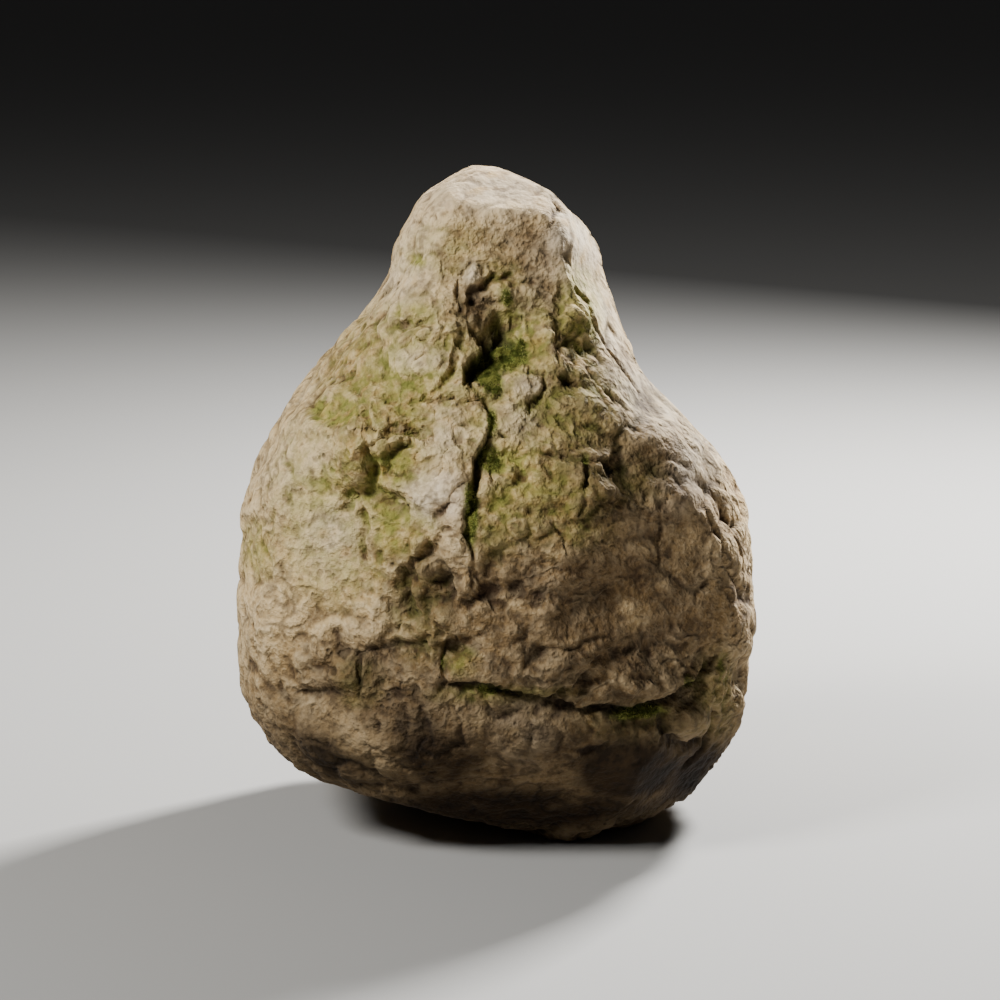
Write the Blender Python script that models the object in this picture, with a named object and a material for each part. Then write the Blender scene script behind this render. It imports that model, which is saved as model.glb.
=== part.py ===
"""Mossy rock: a pear-shaped limestone boulder, cleft down its front and seamed above its foot.

Blender 4.5 script. World units are metres and +Z is up. The viewer stands in front, at -Y, and every
table below is in millimetres. The boulder rests on the flat that z = 0 cuts off its foot.
"""

import math

import bmesh
import bpy
import numpy as np
from mathutils import Vector, noise
from mathutils.bvhtree import BVHTree

MM = 0.001

# The uncut form runs from below the ground to the crown.
FOOT = -14
CROWN = 484

# Height, left edge, right edge, middle, reach to the front and reach to the back.
SECTIONS = (
    (6, -62, 124, 34, 84, 80),
    (18, -92, 144, 28, 106, 100),
    (34, -124, 164, 20, 126, 118),
    (56, -158, 180, 8, 145, 137),
    (84, -182, 185, 0, 158, 150),
    (120, -193, 190, 0, 165, 157),
    (165, -195, 192, 0, 168, 160),
    (215, -189, 187, 0, 164, 156),
    (259, -179, 174, 0, 155, 147),
    (295, -162, 147, 0, 141, 133),
    (330, -136, 111, 0, 121, 114),
    (366, -107, 89, 0, 102, 96),
    (401, -82, 81, 0, 88, 82),
    (435, -71, 71, 0, 75, 69),
    (464, -57, 49, 0, 55, 49),
)
SQUARENESS = 2.35  # 2 makes each section an ellipse, and more makes it boxier

# Broken flats: a point on the flat, the way it faces as degrees round from +X and degrees up, and its reach.
FLATS = {
    "crown_left": ((-38, 0, 471), 180, 61, 80),
    "crown_top": ((-8, 0, 481), 330, 82, 80),
    "crown_right_top": ((21, 0, 473), 10, 66, 70),
    "crown_front": ((6, -32, 470), 286, 62, 70),
    "brow_front": ((8, -64, 428), 276, 12, 70),
    "crown_right": ((47, 0, 455), 8, 47, 75),
    "brow_right": ((66, -6, 430), 346, 20, 70),
    "brow_left": ((-70, 0, 434), 186, 24, 70),
    "throat_front": ((4, -97, 368), 268, 30, 90),
    "throat_right": ((79, -52, 364), 340, 28, 75),
    "front_left": ((-88, -138, 180), 244, 6, 190),
    "front_right": ((84, -142, 170), 297, 3, 190),
    "foot_front": ((40, -114, 36), 272, -38, 130),
    "foot_front_right": ((122, -84, 44), 322, -30, 110),
    "foot_left": ((-163, 0, 60), 182, -53, 110),
    "heel_left": ((-70, -70, 28), 222, -70, 150),
    "heel_right": ((138, -30, 14), 352, -54, 90),
    "foot_right": ((172, 0, 44), 2, -33, 80),
    "flank_left": ((-193, 0, 130), 176, -2, 120),
    "flank_right": ((191, 0, 145), 6, -3, 120),
    "shoulder_left": ((-163, 0, 293), 172, 30, 70),
    "shoulder_right": ((144, 0, 292), 12, 44, 75),
    "shoulder_right_low": ((171, 0, 258), 8, 27, 60),
    "back_high": ((10, 108, 326), 84, 32, 110),
    "back_left": ((-96, 126, 168), 126, 4, 160),
    "back_right": ((92, 124, 186), 52, 8, 160),
    "heel_back": ((20, 108, 36), 92, -42, 120),
    "brow_back": ((0, 64, 432), 100, 30, 75),
}
FLAT_ROUNDING = 2.5
FLAT_FADE = 0.35  # the outer share of a flat's reach over which it dies away

# Lumps: size across, height, and how many finer layers each adds. Folds meet in sharp creases instead.
LUMPS = ((120, 4.5, 2), (44, 3.8, 2))
FOLDS = ((58, 3.4, 1), (28, 2.4, 2))
FOLD_CREST = 0.35  # the strength of noise at which a fold stops rising
ROUTE_WOBBLE = ((15, 2.2), (6, 1.3))  # size and sway of the bends that a crack makes on its way
RAGGEDNESS = (8, 0.5)  # size of the bites in a crack's lips, and their share of its width
NARROWEST = 0.22  # the share of its width that a crack keeps where it dies out
STEEP, GENTLE = 0.5, 1.3  # how a crack's narrow wall drops and how its wide wall slopes

# The viewer looks down at the stone, and marks lie where they are seen against a plane through the origin.
SIGHT_TILT = 11
SIGHT_CENTRE = (3, 234)
SIGHT_DISTANCE = 2200

# Cracks: the widths to the left and right of someone walking the route, then the route as across, up
# and depth. A crack is that wide where it is deepest and narrows as it shallows.
FRONT_CRACKS = {
    "cleft": (14, 4, (
        (14, 372, 2), (7, 366, 8), (-4, 363, 18), (-9, 352, 27), (-15, 340, 27), (-23, 325, 18),
        (-19, 315, 14), (-11, 307, 12), (-5, 300, 11), (-4, 290, 12), (-6, 279, 15), (-10, 271, 21),
        (-16, 262, 21), (-17, 252, 17), (-19, 236, 14), (-23, 220, 14), (-23, 205, 11), (-20, 196, 7),
        (-18, 187, 4), (-19, 172, 2), (-27, 150, 0),
    )),
    "pocket": (30, 4, (
        (22, 370, 0), (14, 369, 8), (4, 369, 14), (-2, 362, 18), (-10, 357, 20), (-13, 347, 20), (-19, 338, 18),
        (-23, 326, 11), (-26, 316, 0),
    )),
    "cave": (4, 9, (
        (-24, 386, 0), (-19, 391, 6), (-11, 393, 8), (-4, 398, 8), (4, 398, 8), (10, 401, 7), (14, 395, 4),
        (12, 386, 0),
    )),
    "cave_step": (3, 9, ((-26, 377, 0), (-18, 383, 6), (-8, 385, 6), (2, 382, 5), (4, 372, 0))),
    "egg_edge": (3, 4, ((-27, 394, 0), (-27, 403, 3), (-21, 410, 3), (-13, 409, 3), (-11, 402, 0))),
    "block_edge": (9, 3, (
        (-26, 372, 0), (-22, 362, 4), (-14, 358, 5), (-4, 363, 5), (6, 370, 4), (13, 374, 0),
    )),
    "side_crack": (5, 4, (
        (-31, 408, 0), (-29, 393, 4), (-28, 382, 5), (-29, 358, 5), (-31, 346, 5), (-32, 331, 7),
        (-43, 317, 6), (-54, 311, 4), (-60, 305, 0),
    )),
    "seam": (3, 10, (
        (-41, 97, 4), (-32, 94, 11), (-17, 94, 11), (1, 90, 12), (18, 84, 11), (37, 80, 10), (53, 76, 9),
        (69, 74, 10), (82, 76, 12), (104, 75, 13), (125, 82, 11), (141, 89, 8), (151, 95, 8), (158, 103, 7),
        (164, 111, 6), (174, 122, 0),
    )),
    "knob_gap": (5, 5, (
        (-24, 123, 0), (-34, 123, 7), (-41, 119, 9), (-41, 110, 4), (-39, 101, 5), (-41, 92, 7), (-43, 86, 0),
    )),
    "fold": (3, 8, ((10, 114, 0), (22, 117, 4), (38, 120, 5), (57, 122, 5), (73, 129, 5), (90, 131, 0))),
    "scale_edge": (3, 7, ((26, 82, 0), (38, 82, 5), (54, 89, 6), (66, 101, 6), (71, 116, 0))),
    "seam_tooth": (4, 4, ((143, 116, 0), (142, 108, 7), (145, 98, 8))),
    "seam_tooth_right": (4, 4, ((157, 118, 0), (160, 111, 7), (162, 104, 7))),
    "left_ledge": (15, 4, (
        (-93, 288, 0), (-95, 283, 3), (-96, 272, 5), (-95, 262, 6), (-97, 252, 9), (-101, 244, 10),
        (-110, 245, 6), (-114, 237, 5), (-119, 229, 0),
    )),
    "ledge_line": (3, 3, (
        (-110, 323, 0), (-104, 313, 3), (-99, 304, 4), (-96, 292, 4), (-90, 276, 4), (-89, 262, 4),
        (-90, 252, 0),
    )),
    "shelf": (3, 6, ((-68, 304, 0), (-60, 309, 4), (-46, 307, 4), (-33, 308, 7), (-30, 304, 0))),
    "curved_edge": (8, 3, ((-108, 246, 0), (-108, 238, 5), (-114, 228, 6), (-123, 222, 0))),
    "plate_notch": (3, 5, ((-46, 213, 0), (-40, 211, 5), (-32, 209, 5), (-28, 204, 0))),
    "crescent": (3, 13, ((-86, 257, 5), (-82, 267, 8), (-72, 273, 9), (-63, 274, 7), (-54, 271, 0))),
    "crescent_high": (3, 5, ((-88, 274, 0), (-78, 281, 4), (-64, 283, 4), (-52, 278, 0))),
    "left_line": (3, 4, (
        (-106, 230, 0), (-101, 222, 4), (-100, 213, 4), (-103, 203, 5), (-101, 193, 4), (-103, 178, 0),
    )),
    "nub_edge": (3, 5, ((-50, 210, 0), (-52, 198, 6), (-57, 190, 6), (-66, 187, 0))),
    "scarp": (13, 4, (
        (-33, 209, 1), (-44, 203, 4), (-52, 193, 5), (-64, 188, 6), (-70, 177, 7), (-72, 166, 4), (-71, 152, 6),
        (-74, 141, 5), (-84, 131, 5), (-92, 125, 5), (-102, 118, 1),
    )),
    "scarp_bowl": (4, 10, ((-52, 168, 0), (-46, 172, 7), (-38, 172, 8), (-34, 163, 7), (-37, 154, 0))),
    "block_top": (3, 8, ((-99, 120, 4), (-87, 124, 8), (-72, 126, 8), (-57, 125, 5), (-48, 119, 0))),
    "low_notch": (4, 7, (
        (-110, 122, 0), (-104, 117, 8), (-102, 106, 9), (-103, 96, 9), (-105, 86, 4), (-106, 80, 0),
    )),
    "low_stem": (3, 4, ((-90, 72, 0), (-89, 64, 5), (-90, 55, 0))),
    "ear_edge": (4, 7, ((-158, 86, 0), (-148, 90, 4), (-136, 88, 5), (-126, 92, 4), (-118, 88, 0))),
    "boss_rim": (3, 6, (
        (123, 79, 6), (124, 64, 8), (130, 54, 8), (138, 47, 7), (154, 50, 6), (163, 65, 7), (165, 79, 6),
        (168, 92, 0),
    )),
    "foot_spine": (4, 5, ((163, 64, 5), (155, 46, 7), (143, 35, 6), (136, 27, 0))),
    "right_stem": (3, 4, ((65, 266, 4), (67, 257, 6), (66, 248, 4), (65, 234, 3), (63, 223, 4), (59, 216, 3))),
    "right_lip": (3, 8, ((46, 219, 0), (54, 215, 5), (65, 216, 6), (71, 223, 4), (82, 235, 0))),
    "right_long": (3, 4, (
        (121, 252, 0), (122, 230, 3), (123, 216, 3), (121, 198, 3), (123, 180, 4), (129, 176, 4), (142, 166, 5),
        (149, 164, 5), (158, 171, 4), (163, 175, 0),
    )),
    "cheek_line": (3, 8, (
        (146, 248, 0), (154, 240, 4), (155, 227, 5), (163, 212, 6), (168, 200, 6), (168, 193, 0),
    )),
    "cheek_fork": (3, 4, ((168, 200, 5), (174, 213, 4), (178, 230, 0))),
    "cross_crack": (3, 8, (
        (-4, 272, 7), (6, 269, 4), (15, 264, 5), (29, 270, 4), (44, 266, 5), (65, 262, 5), (76, 265, 4),
        (89, 260, 4), (106, 262, 0),
    )),
    "cross_lip": (3, 5, ((-4, 280, 7), (4, 281, 5), (13, 282, 0))),
    "block_line": (3, 5, (
        (10, 331, 3), (24, 331, 5), (33, 329, 6), (37, 318, 6), (33, 309, 7), (26, 305, 6), (22, 294, 0),
    )),
    "left_neck": (4, 9, ((-86, 361, 0), (-76, 362, 4), (-64, 365, 5), (-50, 365, 4), (-37, 367, 0))),
    "neck_arch": (4, 6, (
        (54, 386, 0), (60, 390, 4), (67, 382, 5), (70, 369, 5), (83, 349, 5), (94, 331, 6), (106, 315, 6),
        (112, 300, 0),
    )),
    "neck_line": (4, 5, ((76, 317, 0), (88, 310, 5), (99, 301, 5), (108, 294, 0))),
    "throat_groove": (5, 5, ((46, 402, 0), (47, 385, 4), (46, 360, 4), (47, 342, 4), (47, 333, 0))),
    "throat_hole": (4, 5, ((47, 325, 3), (53, 322, 7), (62, 320, 3), (72, 318, 0))),
}
# The back's cracks, as someone standing behind the stone sees them.
BACK_CRACKS = {
    "back_cleft": (8, 5, (
        (30, 372, 0), (22, 345, 7), (26, 318, 10), (12, 288, 11), (16, 262, 8), (4, 236, 9), (8, 210, 5),
        (2, 190, 0),
    )),
    "back_seam": (5, 13, (
        (-160, 118, 0), (-132, 104, 8), (-98, 108, 11), (-66, 96, 9), (-30, 99, 12), (4, 88, 8), (34, 92, 0),
    )),
    "back_branch": (5, 10, ((60, 190, 0), (84, 178, 7), (104, 184, 8), (128, 170, 6), (146, 174, 0))),
    "back_step": (14, 5, ((-70, 262, 0), (-86, 240, 7), (-84, 214, 8), (-98, 192, 6), (-104, 170, 0))),
}

# Hollows and, with a negative depth, swellings: across, up, half width, half height, turn and depth.
FRONT_HOLLOWS = {
    "moss_bed": (12, 352, 29, 25, -10, 9),
    "moss_bed_low": (-5, 328, 16, 28, 20, 8),
    "small_bed": (-2, 263, 13, 13, 0, 7),
    "cave_floor": (-10, 383, 16, 14, 0, 4),
    "cave_brow": (-10, 416, 24, 9, 0, -3),
    "cave_egg": (-19, 402, 8, 10, 0, -4),
    "left_patch": (-121, 298, 24, 14, -12, 4),
    "left_bowl": (-82, 246, 22, 24, 0, 4),
    "scarp_bay": (-66, 148, 20, 34, 0, 5),
    "knob": (-25, 108, 12, 11, 0, -5),
    "knob_hole": (-34, 120, 10, 6, 0, 7),
    "overhang": (92, 98, 62, 19, 4, -5),
    "overhang_left": (8, 112, 40, 16, 0, -3),
    "seam_bed": (106, 64, 22, 8, 0, 5),
    "boss": (146, 66, 17, 16, 0, -5),
    "dimple": (-60, 414, 9, 5, -35, 2),
    "right_bay": (78, 158, 40, 22, 8, 3),
    "shoulder_knuckle": (176, 192, 26, 30, 0, -4),
    "lip_left": (-38, 268, 16, 34, 8, -3),
    "lip_high": (-34, 352, 9, 26, -14, -3),
    "ledge_lump": (-106, 254, 13, 17, -10, -7),
    "pale_plate": (-46, 240, 27, 17, 0, -3),
    "nub": (-59, 199, 7, 10, 0, -6),
    "scarp_knob": (-35, 199, 11, 10, 0, -6),
    "scarp_knuckle": (-52, 180, 13, 9, 30, -6),
    "scarp_toe": (-60, 158, 9, 14, 10, -6),
    "scarp_heel": (-42, 146, 12, 8, -20, -5),
    "scarp_bowl_floor": (-42, 163, 10, 9, 0, 4),
    "scarp_block": (-69, 107, 20, 15, 0, -6),
    "low_brow": (-100, 133, 26, 10, -20, -6),
    "ear": (-131, 127, 12, 18, 0, -6),
    "ear_hole": (-114, 118, 10, 9, 0, 6),
    "low_cheek": (-132, 97, 22, 9, 0, -4),
}
BACK_HOLLOWS = {
    "back_bed": (24, 300, 22, 34, 0, 6),
    "back_bay": (-60, 150, 40, 26, 10, 5),
    "back_swell": (80, 222, 44, 40, 0, -5),
    "back_heel_bay": (60, 74, 40, 16, 0, 4),
}

BLOCK_CUTS = 87  # cuts along each edge of the block that the fine form is shaped from
SOLID_TRIANGLES = 9900
STONE_COLOUR = (0.36, 0.30, 0.21, 1.0)


def smooth_between(x, xs, ys):
    """Cubic interpolation through the points xs, ys."""
    xs, ys = np.asarray(xs, float), np.asarray(ys, float)
    slopes = np.gradient(ys, xs)
    i = np.clip(np.searchsorted(xs, x) - 1, 0, len(xs) - 2)
    span = xs[i + 1] - xs[i]
    t = (x - xs[i]) / span
    start = ys[i] * (1 + 2 * t) * (1 - t) ** 2 + slopes[i] * span * t * (1 - t) ** 2
    end = ys[i + 1] * t**2 * (3 - 2 * t) + slopes[i + 1] * span * t**2 * (t - 1)
    return start + end


def facing(azimuth, elevation):
    """Unit vector that points azimuth degrees round from +X and elevation degrees up."""
    a, e = math.radians(azimuth), math.radians(elevation)
    return np.array((math.cos(a) * math.cos(e), math.sin(a) * math.cos(e), math.sin(e)))


def read_points(mesh):
    points = np.empty(len(mesh.vertices) * 3, np.float32)
    mesh.vertices.foreach_get("co", points)
    return points.reshape(-1, 3).astype(float)


def read_normals(mesh):
    normals = np.empty(len(mesh.vertices) * 3, np.float32)
    mesh.vertex_normals.foreach_get("vector", normals)
    return normals.reshape(-1, 3).astype(float)


def write_points(mesh, points):
    mesh.vertices.foreach_set("co", points.astype(np.float32).ravel())
    mesh.update()


def push_out(mesh, heights):
    """Moves each point of the stone outwards by its height in metres."""
    write_points(mesh, read_points(mesh) + read_normals(mesh) * heights[:, None])


def gridded_ball():
    """A unit ball with an even grid of faces, from a subdivided cube."""
    bm = bmesh.new()
    bmesh.ops.create_cube(bm, size=2)
    bmesh.ops.subdivide_edges(bm, edges=bm.edges[:], cuts=BLOCK_CUTS, use_grid_fill=True)
    for vert in bm.verts:
        # The tangent keeps the squares near a cube's corner as large as those in its middle.
        vert.co = Vector([math.tan(c * math.pi / 4) for c in vert.co]).normalized()
    mesh = bpy.data.meshes.new("rock")
    bm.to_mesh(mesh)
    bm.free()
    return mesh


def block_out(directions):
    """Carries the ball's points to the boulder's sections."""
    heights, left, right, middle, front, back = np.array(SECTIONS, float).T
    height_of_ball = (CROWN - FOOT) / 2
    section_angles = np.arcsin((heights - FOOT) / height_of_ball - 1)
    angles = np.concatenate(([-math.pi / 2], section_angles, [math.pi / 2]))

    def at(values, first=0.0, last=0.0):
        return smooth_between(latitude, angles, np.concatenate(([first], values, [last])))

    latitude = np.arcsin(np.clip(directions[:, 2], -1, 1))
    around = directions[:, :2] / np.maximum(np.hypot(*directions[:, :2].T), 1e-9)[:, None]
    across = np.where(around[:, 0] > 0, at(right - middle), at(middle - left))
    along = np.where(around[:, 1] > 0, at(back), at(front))
    across, along = np.maximum(across, 1e-3), np.maximum(along, 1e-3)
    reach = ((np.abs(around[:, 0]) / across) ** SQUARENESS + (np.abs(around[:, 1]) / along) ** SQUARENESS)
    reach = reach ** (-1 / SQUARENESS)
    x = around[:, 0] * reach + at(middle, first=middle[0])
    y = around[:, 1] * reach
    z = FOOT + height_of_ball * (1 + directions[:, 2])
    return np.column_stack((x, y, z)) * MM


def break_flats(points):
    """Pushes what stands outside each flat back onto it, with a rounded edge."""
    soft = FLAT_ROUNDING * MM
    for place, azimuth, elevation, reach in FLATS.values():
        normal = facing(azimuth, elevation)
        offset = points - np.array(place) * MM
        outside = offset @ normal
        rounded = np.where(outside < soft, np.maximum(outside + soft, 0) ** 2 / (4 * soft), outside)
        nearness = np.clip((1 - np.linalg.norm(offset, axis=1) / (reach * MM)) / FLAT_FADE, 0, 1)
        points = points - (rounded * nearness**2 * (3 - 2 * nearness))[:, None] * normal
    return points


def noise_at(points, size, layers):
    """Smooth noise from about -1 to 1 whose swells are size millimetres across, or size gives x, y and z."""
    scale = 1 / (np.array(size, float) * MM)
    return np.array([noise.fractal(Vector(p), 1.0, 2.1, layers) for p in points * scale])


def raise_lumps(mesh):
    for size, height, layers in LUMPS:
        push_out(mesh, noise_at(read_points(mesh), size, layers) * height * MM)
    for size, height, layers in FOLDS:
        fold = 1 - np.abs(noise_at(read_points(mesh), size, layers)) / FOLD_CREST
        push_out(mesh, -np.clip(fold, 0, 1) ** 2 * height * MM)


class Sight:
    """Where someone stands to read a table of marks: in front of the stone, or behind it."""

    def __init__(self, tree, behind):
        turn = -1 if behind else 1
        tilt = math.radians(SIGHT_TILT)
        self.tree = tree
        self.across = Vector((turn, 0, 0))
        self.up = Vector((0, turn * math.sin(tilt), math.cos(tilt)))
        self.towards_eye = Vector((0, -turn * math.cos(tilt), math.sin(tilt)))
        self.eye = self.on_plane(*SIGHT_CENTRE) + self.towards_eye * SIGHT_DISTANCE * MM

    def on_plane(self, across, up):
        return (self.across * across + self.up * up) * MM

    def on_stone(self, across, up):
        """The point of the stone's surface that is seen at across, up."""
        way = (self.on_plane(across, up) - self.eye).normalized()
        hit = self.tree.ray_cast(self.eye, way)[0]
        if hit is None:
            raise ValueError(f"nothing of the stone is seen at {across}, {up}")
        return np.array(hit)

    def patch(self, points, normals, across, up, half_width, half_height, turn):
        """1 in the middle of an oval mark, fading to 0 at its edge and where the surface turns away."""
        turned = math.radians(turn)
        offset = points - self.on_stone(across, up)
        u, v = offset @ np.array(self.across), offset @ np.array(self.up)
        along = (u * math.cos(turned) + v * math.sin(turned)) / (half_width * MM)
        upwards = (v * math.cos(turned) - u * math.sin(turned)) / (half_height * MM)
        near_face = np.clip(normals @ np.array(self.towards_eye) * 4, 0, 1)
        return np.clip(1 - along**2 - upwards**2, 0, 1) ** 1.5 * near_face


def crack_depth(points, normals, bites, sight, left_width, right_width, route):
    """How deep one crack cuts at each point, in metres."""
    depths = np.array([depth for _, _, depth in route]) * MM
    path = np.array([sight.on_stone(across, up) for across, up, _ in route])
    nearest = np.full(len(points), np.inf)
    cut = np.zeros(len(points))
    for a, b, depth_a, depth_b in zip(path[:-1], path[1:], depths[:-1], depths[1:]):
        way = b - a
        share = np.clip((points - a) @ way / (way @ way), 0, 1)
        gap = points - (a + share[:, None] * way)
        distance = np.linalg.norm(gap, axis=1)
        depth = depth_a + share * (depth_b - depth_a)
        narrowing = NARROWEST + (1 - NARROWEST) * depth / depths.max()
        on_left = np.einsum("ij,ij->i", np.cross(normals, way), gap) > 0
        width = np.where(on_left, left_width, right_width)
        shape = np.where(width <= min(left_width, right_width), STEEP, GENTLE)
        wall = np.clip(1 - distance / (width * narrowing * bites * MM), 0, 1) ** shape
        closer = distance < nearest
        nearest = np.where(closer, distance, nearest)
        cut = np.where(closer, wall * depth, cut)
    return cut


def carve(mesh, sights):
    """Sinks the hollows, raises the swellings, then cuts the cracks into them."""
    points, normals = read_points(mesh), read_normals(mesh)
    for sight, hollows in zip(sights, (FRONT_HOLLOWS, BACK_HOLLOWS)):
        for *oval, depth in hollows.values():
            points -= normals * (sight.patch(points, normals, *oval) * depth * MM)[:, None]
    wobbled = points
    for size, sway in ROUTE_WOBBLE:
        sway_x, sway_z = noise_at(points, size, 1), noise_at(points + 1, size, 1)
        wobbled = wobbled + np.column_stack((sway_x, 0 * sway_x, sway_z)) * sway * MM
    bite_size, bite = RAGGEDNESS
    bites = 1 + bite * noise_at(points, bite_size, 2)
    cut = np.zeros(len(points))
    for sight, cracks in zip(sights, (FRONT_CRACKS, BACK_CRACKS)):
        for crack in cracks.values():
            cut = np.maximum(cut, crack_depth(wobbled, normals, bites, sight, *crack))
    write_points(mesh, points - normals * cut[:, None])


def thin_out(obj):
    """Leaves the triangles where the relief needs them."""
    thinner = obj.modifiers.new("thin_out", "DECIMATE")
    thinner.ratio = SOLID_TRIANGLES / (2 * len(obj.data.polygons))
    evaluated = obj.evaluated_get(bpy.context.evaluated_depsgraph_get())
    thinned = bpy.data.meshes.new_from_object(evaluated)
    obj.modifiers.clear()
    obj.data = thinned


def cut_foot(mesh):
    """Cuts the foot off flat at z = 0, and centres the stone on the origin."""
    bm = bmesh.new()
    bm.from_mesh(mesh)
    everything = bm.verts[:] + bm.edges[:] + bm.faces[:]
    cut = bmesh.ops.bisect_plane(
        bm, geom=everything, dist=1e-6, plane_co=(0, 0, 0), plane_no=(0, 0, 1), clear_inner=True
    )
    rim = [item for item in cut["geom_cut"] if isinstance(item, bmesh.types.BMEdge)]
    bmesh.ops.contextual_create(bm, geom=rim)
    bmesh.ops.recalc_face_normals(bm, faces=bm.faces)
    lowest = Vector([min(v.co[i] for v in bm.verts) for i in range(3)])
    highest = Vector([max(v.co[i] for v in bm.verts) for i in range(3)])
    middle = (lowest + highest) / 2
    bmesh.ops.translate(bm, verts=bm.verts, vec=(-middle.x, -middle.y, 0))
    bm.to_mesh(mesh)
    bm.free()


def stone_material():
    """Dull, dry limestone."""
    material = bpy.data.materials.new("weathered_limestone")
    material.use_nodes = True
    shader = material.node_tree.nodes["Principled BSDF"]
    shader.inputs["Base Color"].default_value = STONE_COLOUR
    shader.inputs["Roughness"].default_value = 0.9
    shader.inputs["Metallic"].default_value = 0.0
    return material


def main():
    for obj in list(bpy.data.objects):
        bpy.data.objects.remove(obj)
    mesh = gridded_ball()
    write_points(mesh, block_out(read_points(mesh)))
    raise_lumps(mesh)
    write_points(mesh, break_flats(read_points(mesh)))
    tree = BVHTree.FromPolygons(read_points(mesh).tolist(), [p.vertices[:] for p in mesh.polygons])
    carve(mesh, (Sight(tree, behind=False), Sight(tree, behind=True)))
    rock = bpy.data.objects.new("rock", mesh)
    bpy.context.scene.collection.objects.link(rock)
    thin_out(rock)
    cut_foot(rock.data)
    rock.data.shade_smooth()
    rock.data.set_sharp_from_angle(angle=math.radians(35))
    rock.data.materials.clear()
    rock.data.materials.append(stone_material())


main()
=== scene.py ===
"""Mossy rock: a weathered limestone boulder with moss in its cracks, standing on a pale floor.

Lengths in the tables are millimetres, and every colour is an sRGB hex value. The boulder's form is worked
from the same sections and flats as its solid, with enough faces for the relief a fingertip can feel. Some
front cracks are shallower or wider here than in the solid, the boss is higher, and two back cracks run on.
"""

import math
import random

import bmesh
import bpy
import numpy as np
from mathutils import Matrix, Vector, noise
from mathutils.bvhtree import BVHTree

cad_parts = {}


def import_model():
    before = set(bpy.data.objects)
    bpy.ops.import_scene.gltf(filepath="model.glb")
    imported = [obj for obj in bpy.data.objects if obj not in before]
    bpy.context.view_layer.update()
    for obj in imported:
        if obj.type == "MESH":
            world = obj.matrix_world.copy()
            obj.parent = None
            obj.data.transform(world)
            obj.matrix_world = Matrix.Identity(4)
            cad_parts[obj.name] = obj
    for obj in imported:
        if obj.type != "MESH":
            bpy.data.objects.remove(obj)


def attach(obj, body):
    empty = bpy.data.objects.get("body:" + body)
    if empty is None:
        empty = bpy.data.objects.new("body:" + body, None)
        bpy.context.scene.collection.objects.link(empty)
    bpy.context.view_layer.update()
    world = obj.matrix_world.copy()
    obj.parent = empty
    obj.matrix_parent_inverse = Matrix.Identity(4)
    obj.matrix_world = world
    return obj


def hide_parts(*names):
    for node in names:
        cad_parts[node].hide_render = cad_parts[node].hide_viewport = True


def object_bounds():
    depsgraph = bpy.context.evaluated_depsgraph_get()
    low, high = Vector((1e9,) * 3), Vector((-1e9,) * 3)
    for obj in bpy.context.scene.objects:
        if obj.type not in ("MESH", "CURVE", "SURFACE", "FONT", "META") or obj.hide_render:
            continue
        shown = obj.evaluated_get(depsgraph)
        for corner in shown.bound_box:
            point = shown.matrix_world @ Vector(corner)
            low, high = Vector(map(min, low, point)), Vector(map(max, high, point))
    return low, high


MM = 0.001

# The boulder's form
FOOT = -14
CROWN = 484

# Height, left edge, right edge, middle, reach to the front and reach to the back.
SECTIONS = (
    (6, -62, 124, 34, 84, 80),
    (18, -92, 144, 28, 106, 100),
    (34, -124, 164, 20, 126, 118),
    (56, -158, 180, 8, 145, 137),
    (84, -182, 185, 0, 158, 150),
    (120, -193, 190, 0, 165, 157),
    (165, -195, 192, 0, 168, 160),
    (215, -189, 187, 0, 164, 156),
    (259, -179, 174, 0, 155, 147),
    (295, -162, 147, 0, 141, 133),
    (330, -136, 111, 0, 121, 114),
    (366, -107, 89, 0, 102, 96),
    (401, -82, 81, 0, 88, 82),
    (435, -71, 71, 0, 75, 69),
    (464, -57, 49, 0, 55, 49),
)
SQUARENESS = 2.35

# Broken flats: a point on the flat, the way it faces as degrees round from +X and degrees up, and its
# reach.
FLATS = {
    "crown_left": ((-38, 0, 471), 180, 61, 80),
    "crown_top": ((-8, 0, 481), 330, 82, 80),
    "crown_right_top": ((21, 0, 473), 10, 66, 70),
    "crown_front": ((6, -32, 470), 286, 62, 70),
    "brow_front": ((8, -64, 428), 276, 12, 70),
    "crown_right": ((47, 0, 455), 8, 47, 75),
    "brow_right": ((66, -6, 430), 346, 20, 70),
    "brow_left": ((-70, 0, 434), 186, 24, 70),
    "throat_front": ((4, -97, 368), 268, 30, 90),
    "throat_right": ((79, -52, 364), 340, 28, 75),
    "front_left": ((-88, -138, 180), 244, 6, 190),
    "front_right": ((84, -142, 170), 297, 3, 190),
    "foot_front": ((40, -114, 36), 272, -38, 130),
    "foot_front_right": ((122, -84, 44), 322, -30, 110),
    "foot_left": ((-163, 0, 60), 182, -53, 110),
    "heel_left": ((-70, -70, 28), 222, -70, 150),
    "heel_right": ((138, -30, 14), 352, -54, 90),
    "foot_right": ((172, 0, 44), 2, -33, 80),
    "flank_left": ((-193, 0, 130), 176, -2, 120),
    "flank_right": ((191, 0, 145), 6, -3, 120),
    "shoulder_left": ((-163, 0, 293), 172, 30, 70),
    "shoulder_right": ((144, 0, 292), 12, 44, 75),
    "shoulder_right_low": ((171, 0, 258), 8, 27, 60),
    "back_high": ((10, 108, 326), 84, 32, 110),
    "back_left": ((-96, 126, 168), 126, 4, 160),
    "back_right": ((92, 124, 186), 52, 8, 160),
    "heel_back": ((20, 108, 36), 92, -42, 120),
    "brow_back": ((0, 64, 432), 100, 30, 75),
}
FLAT_ROUNDING = 2.5
FLAT_FADE = 0.35

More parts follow.
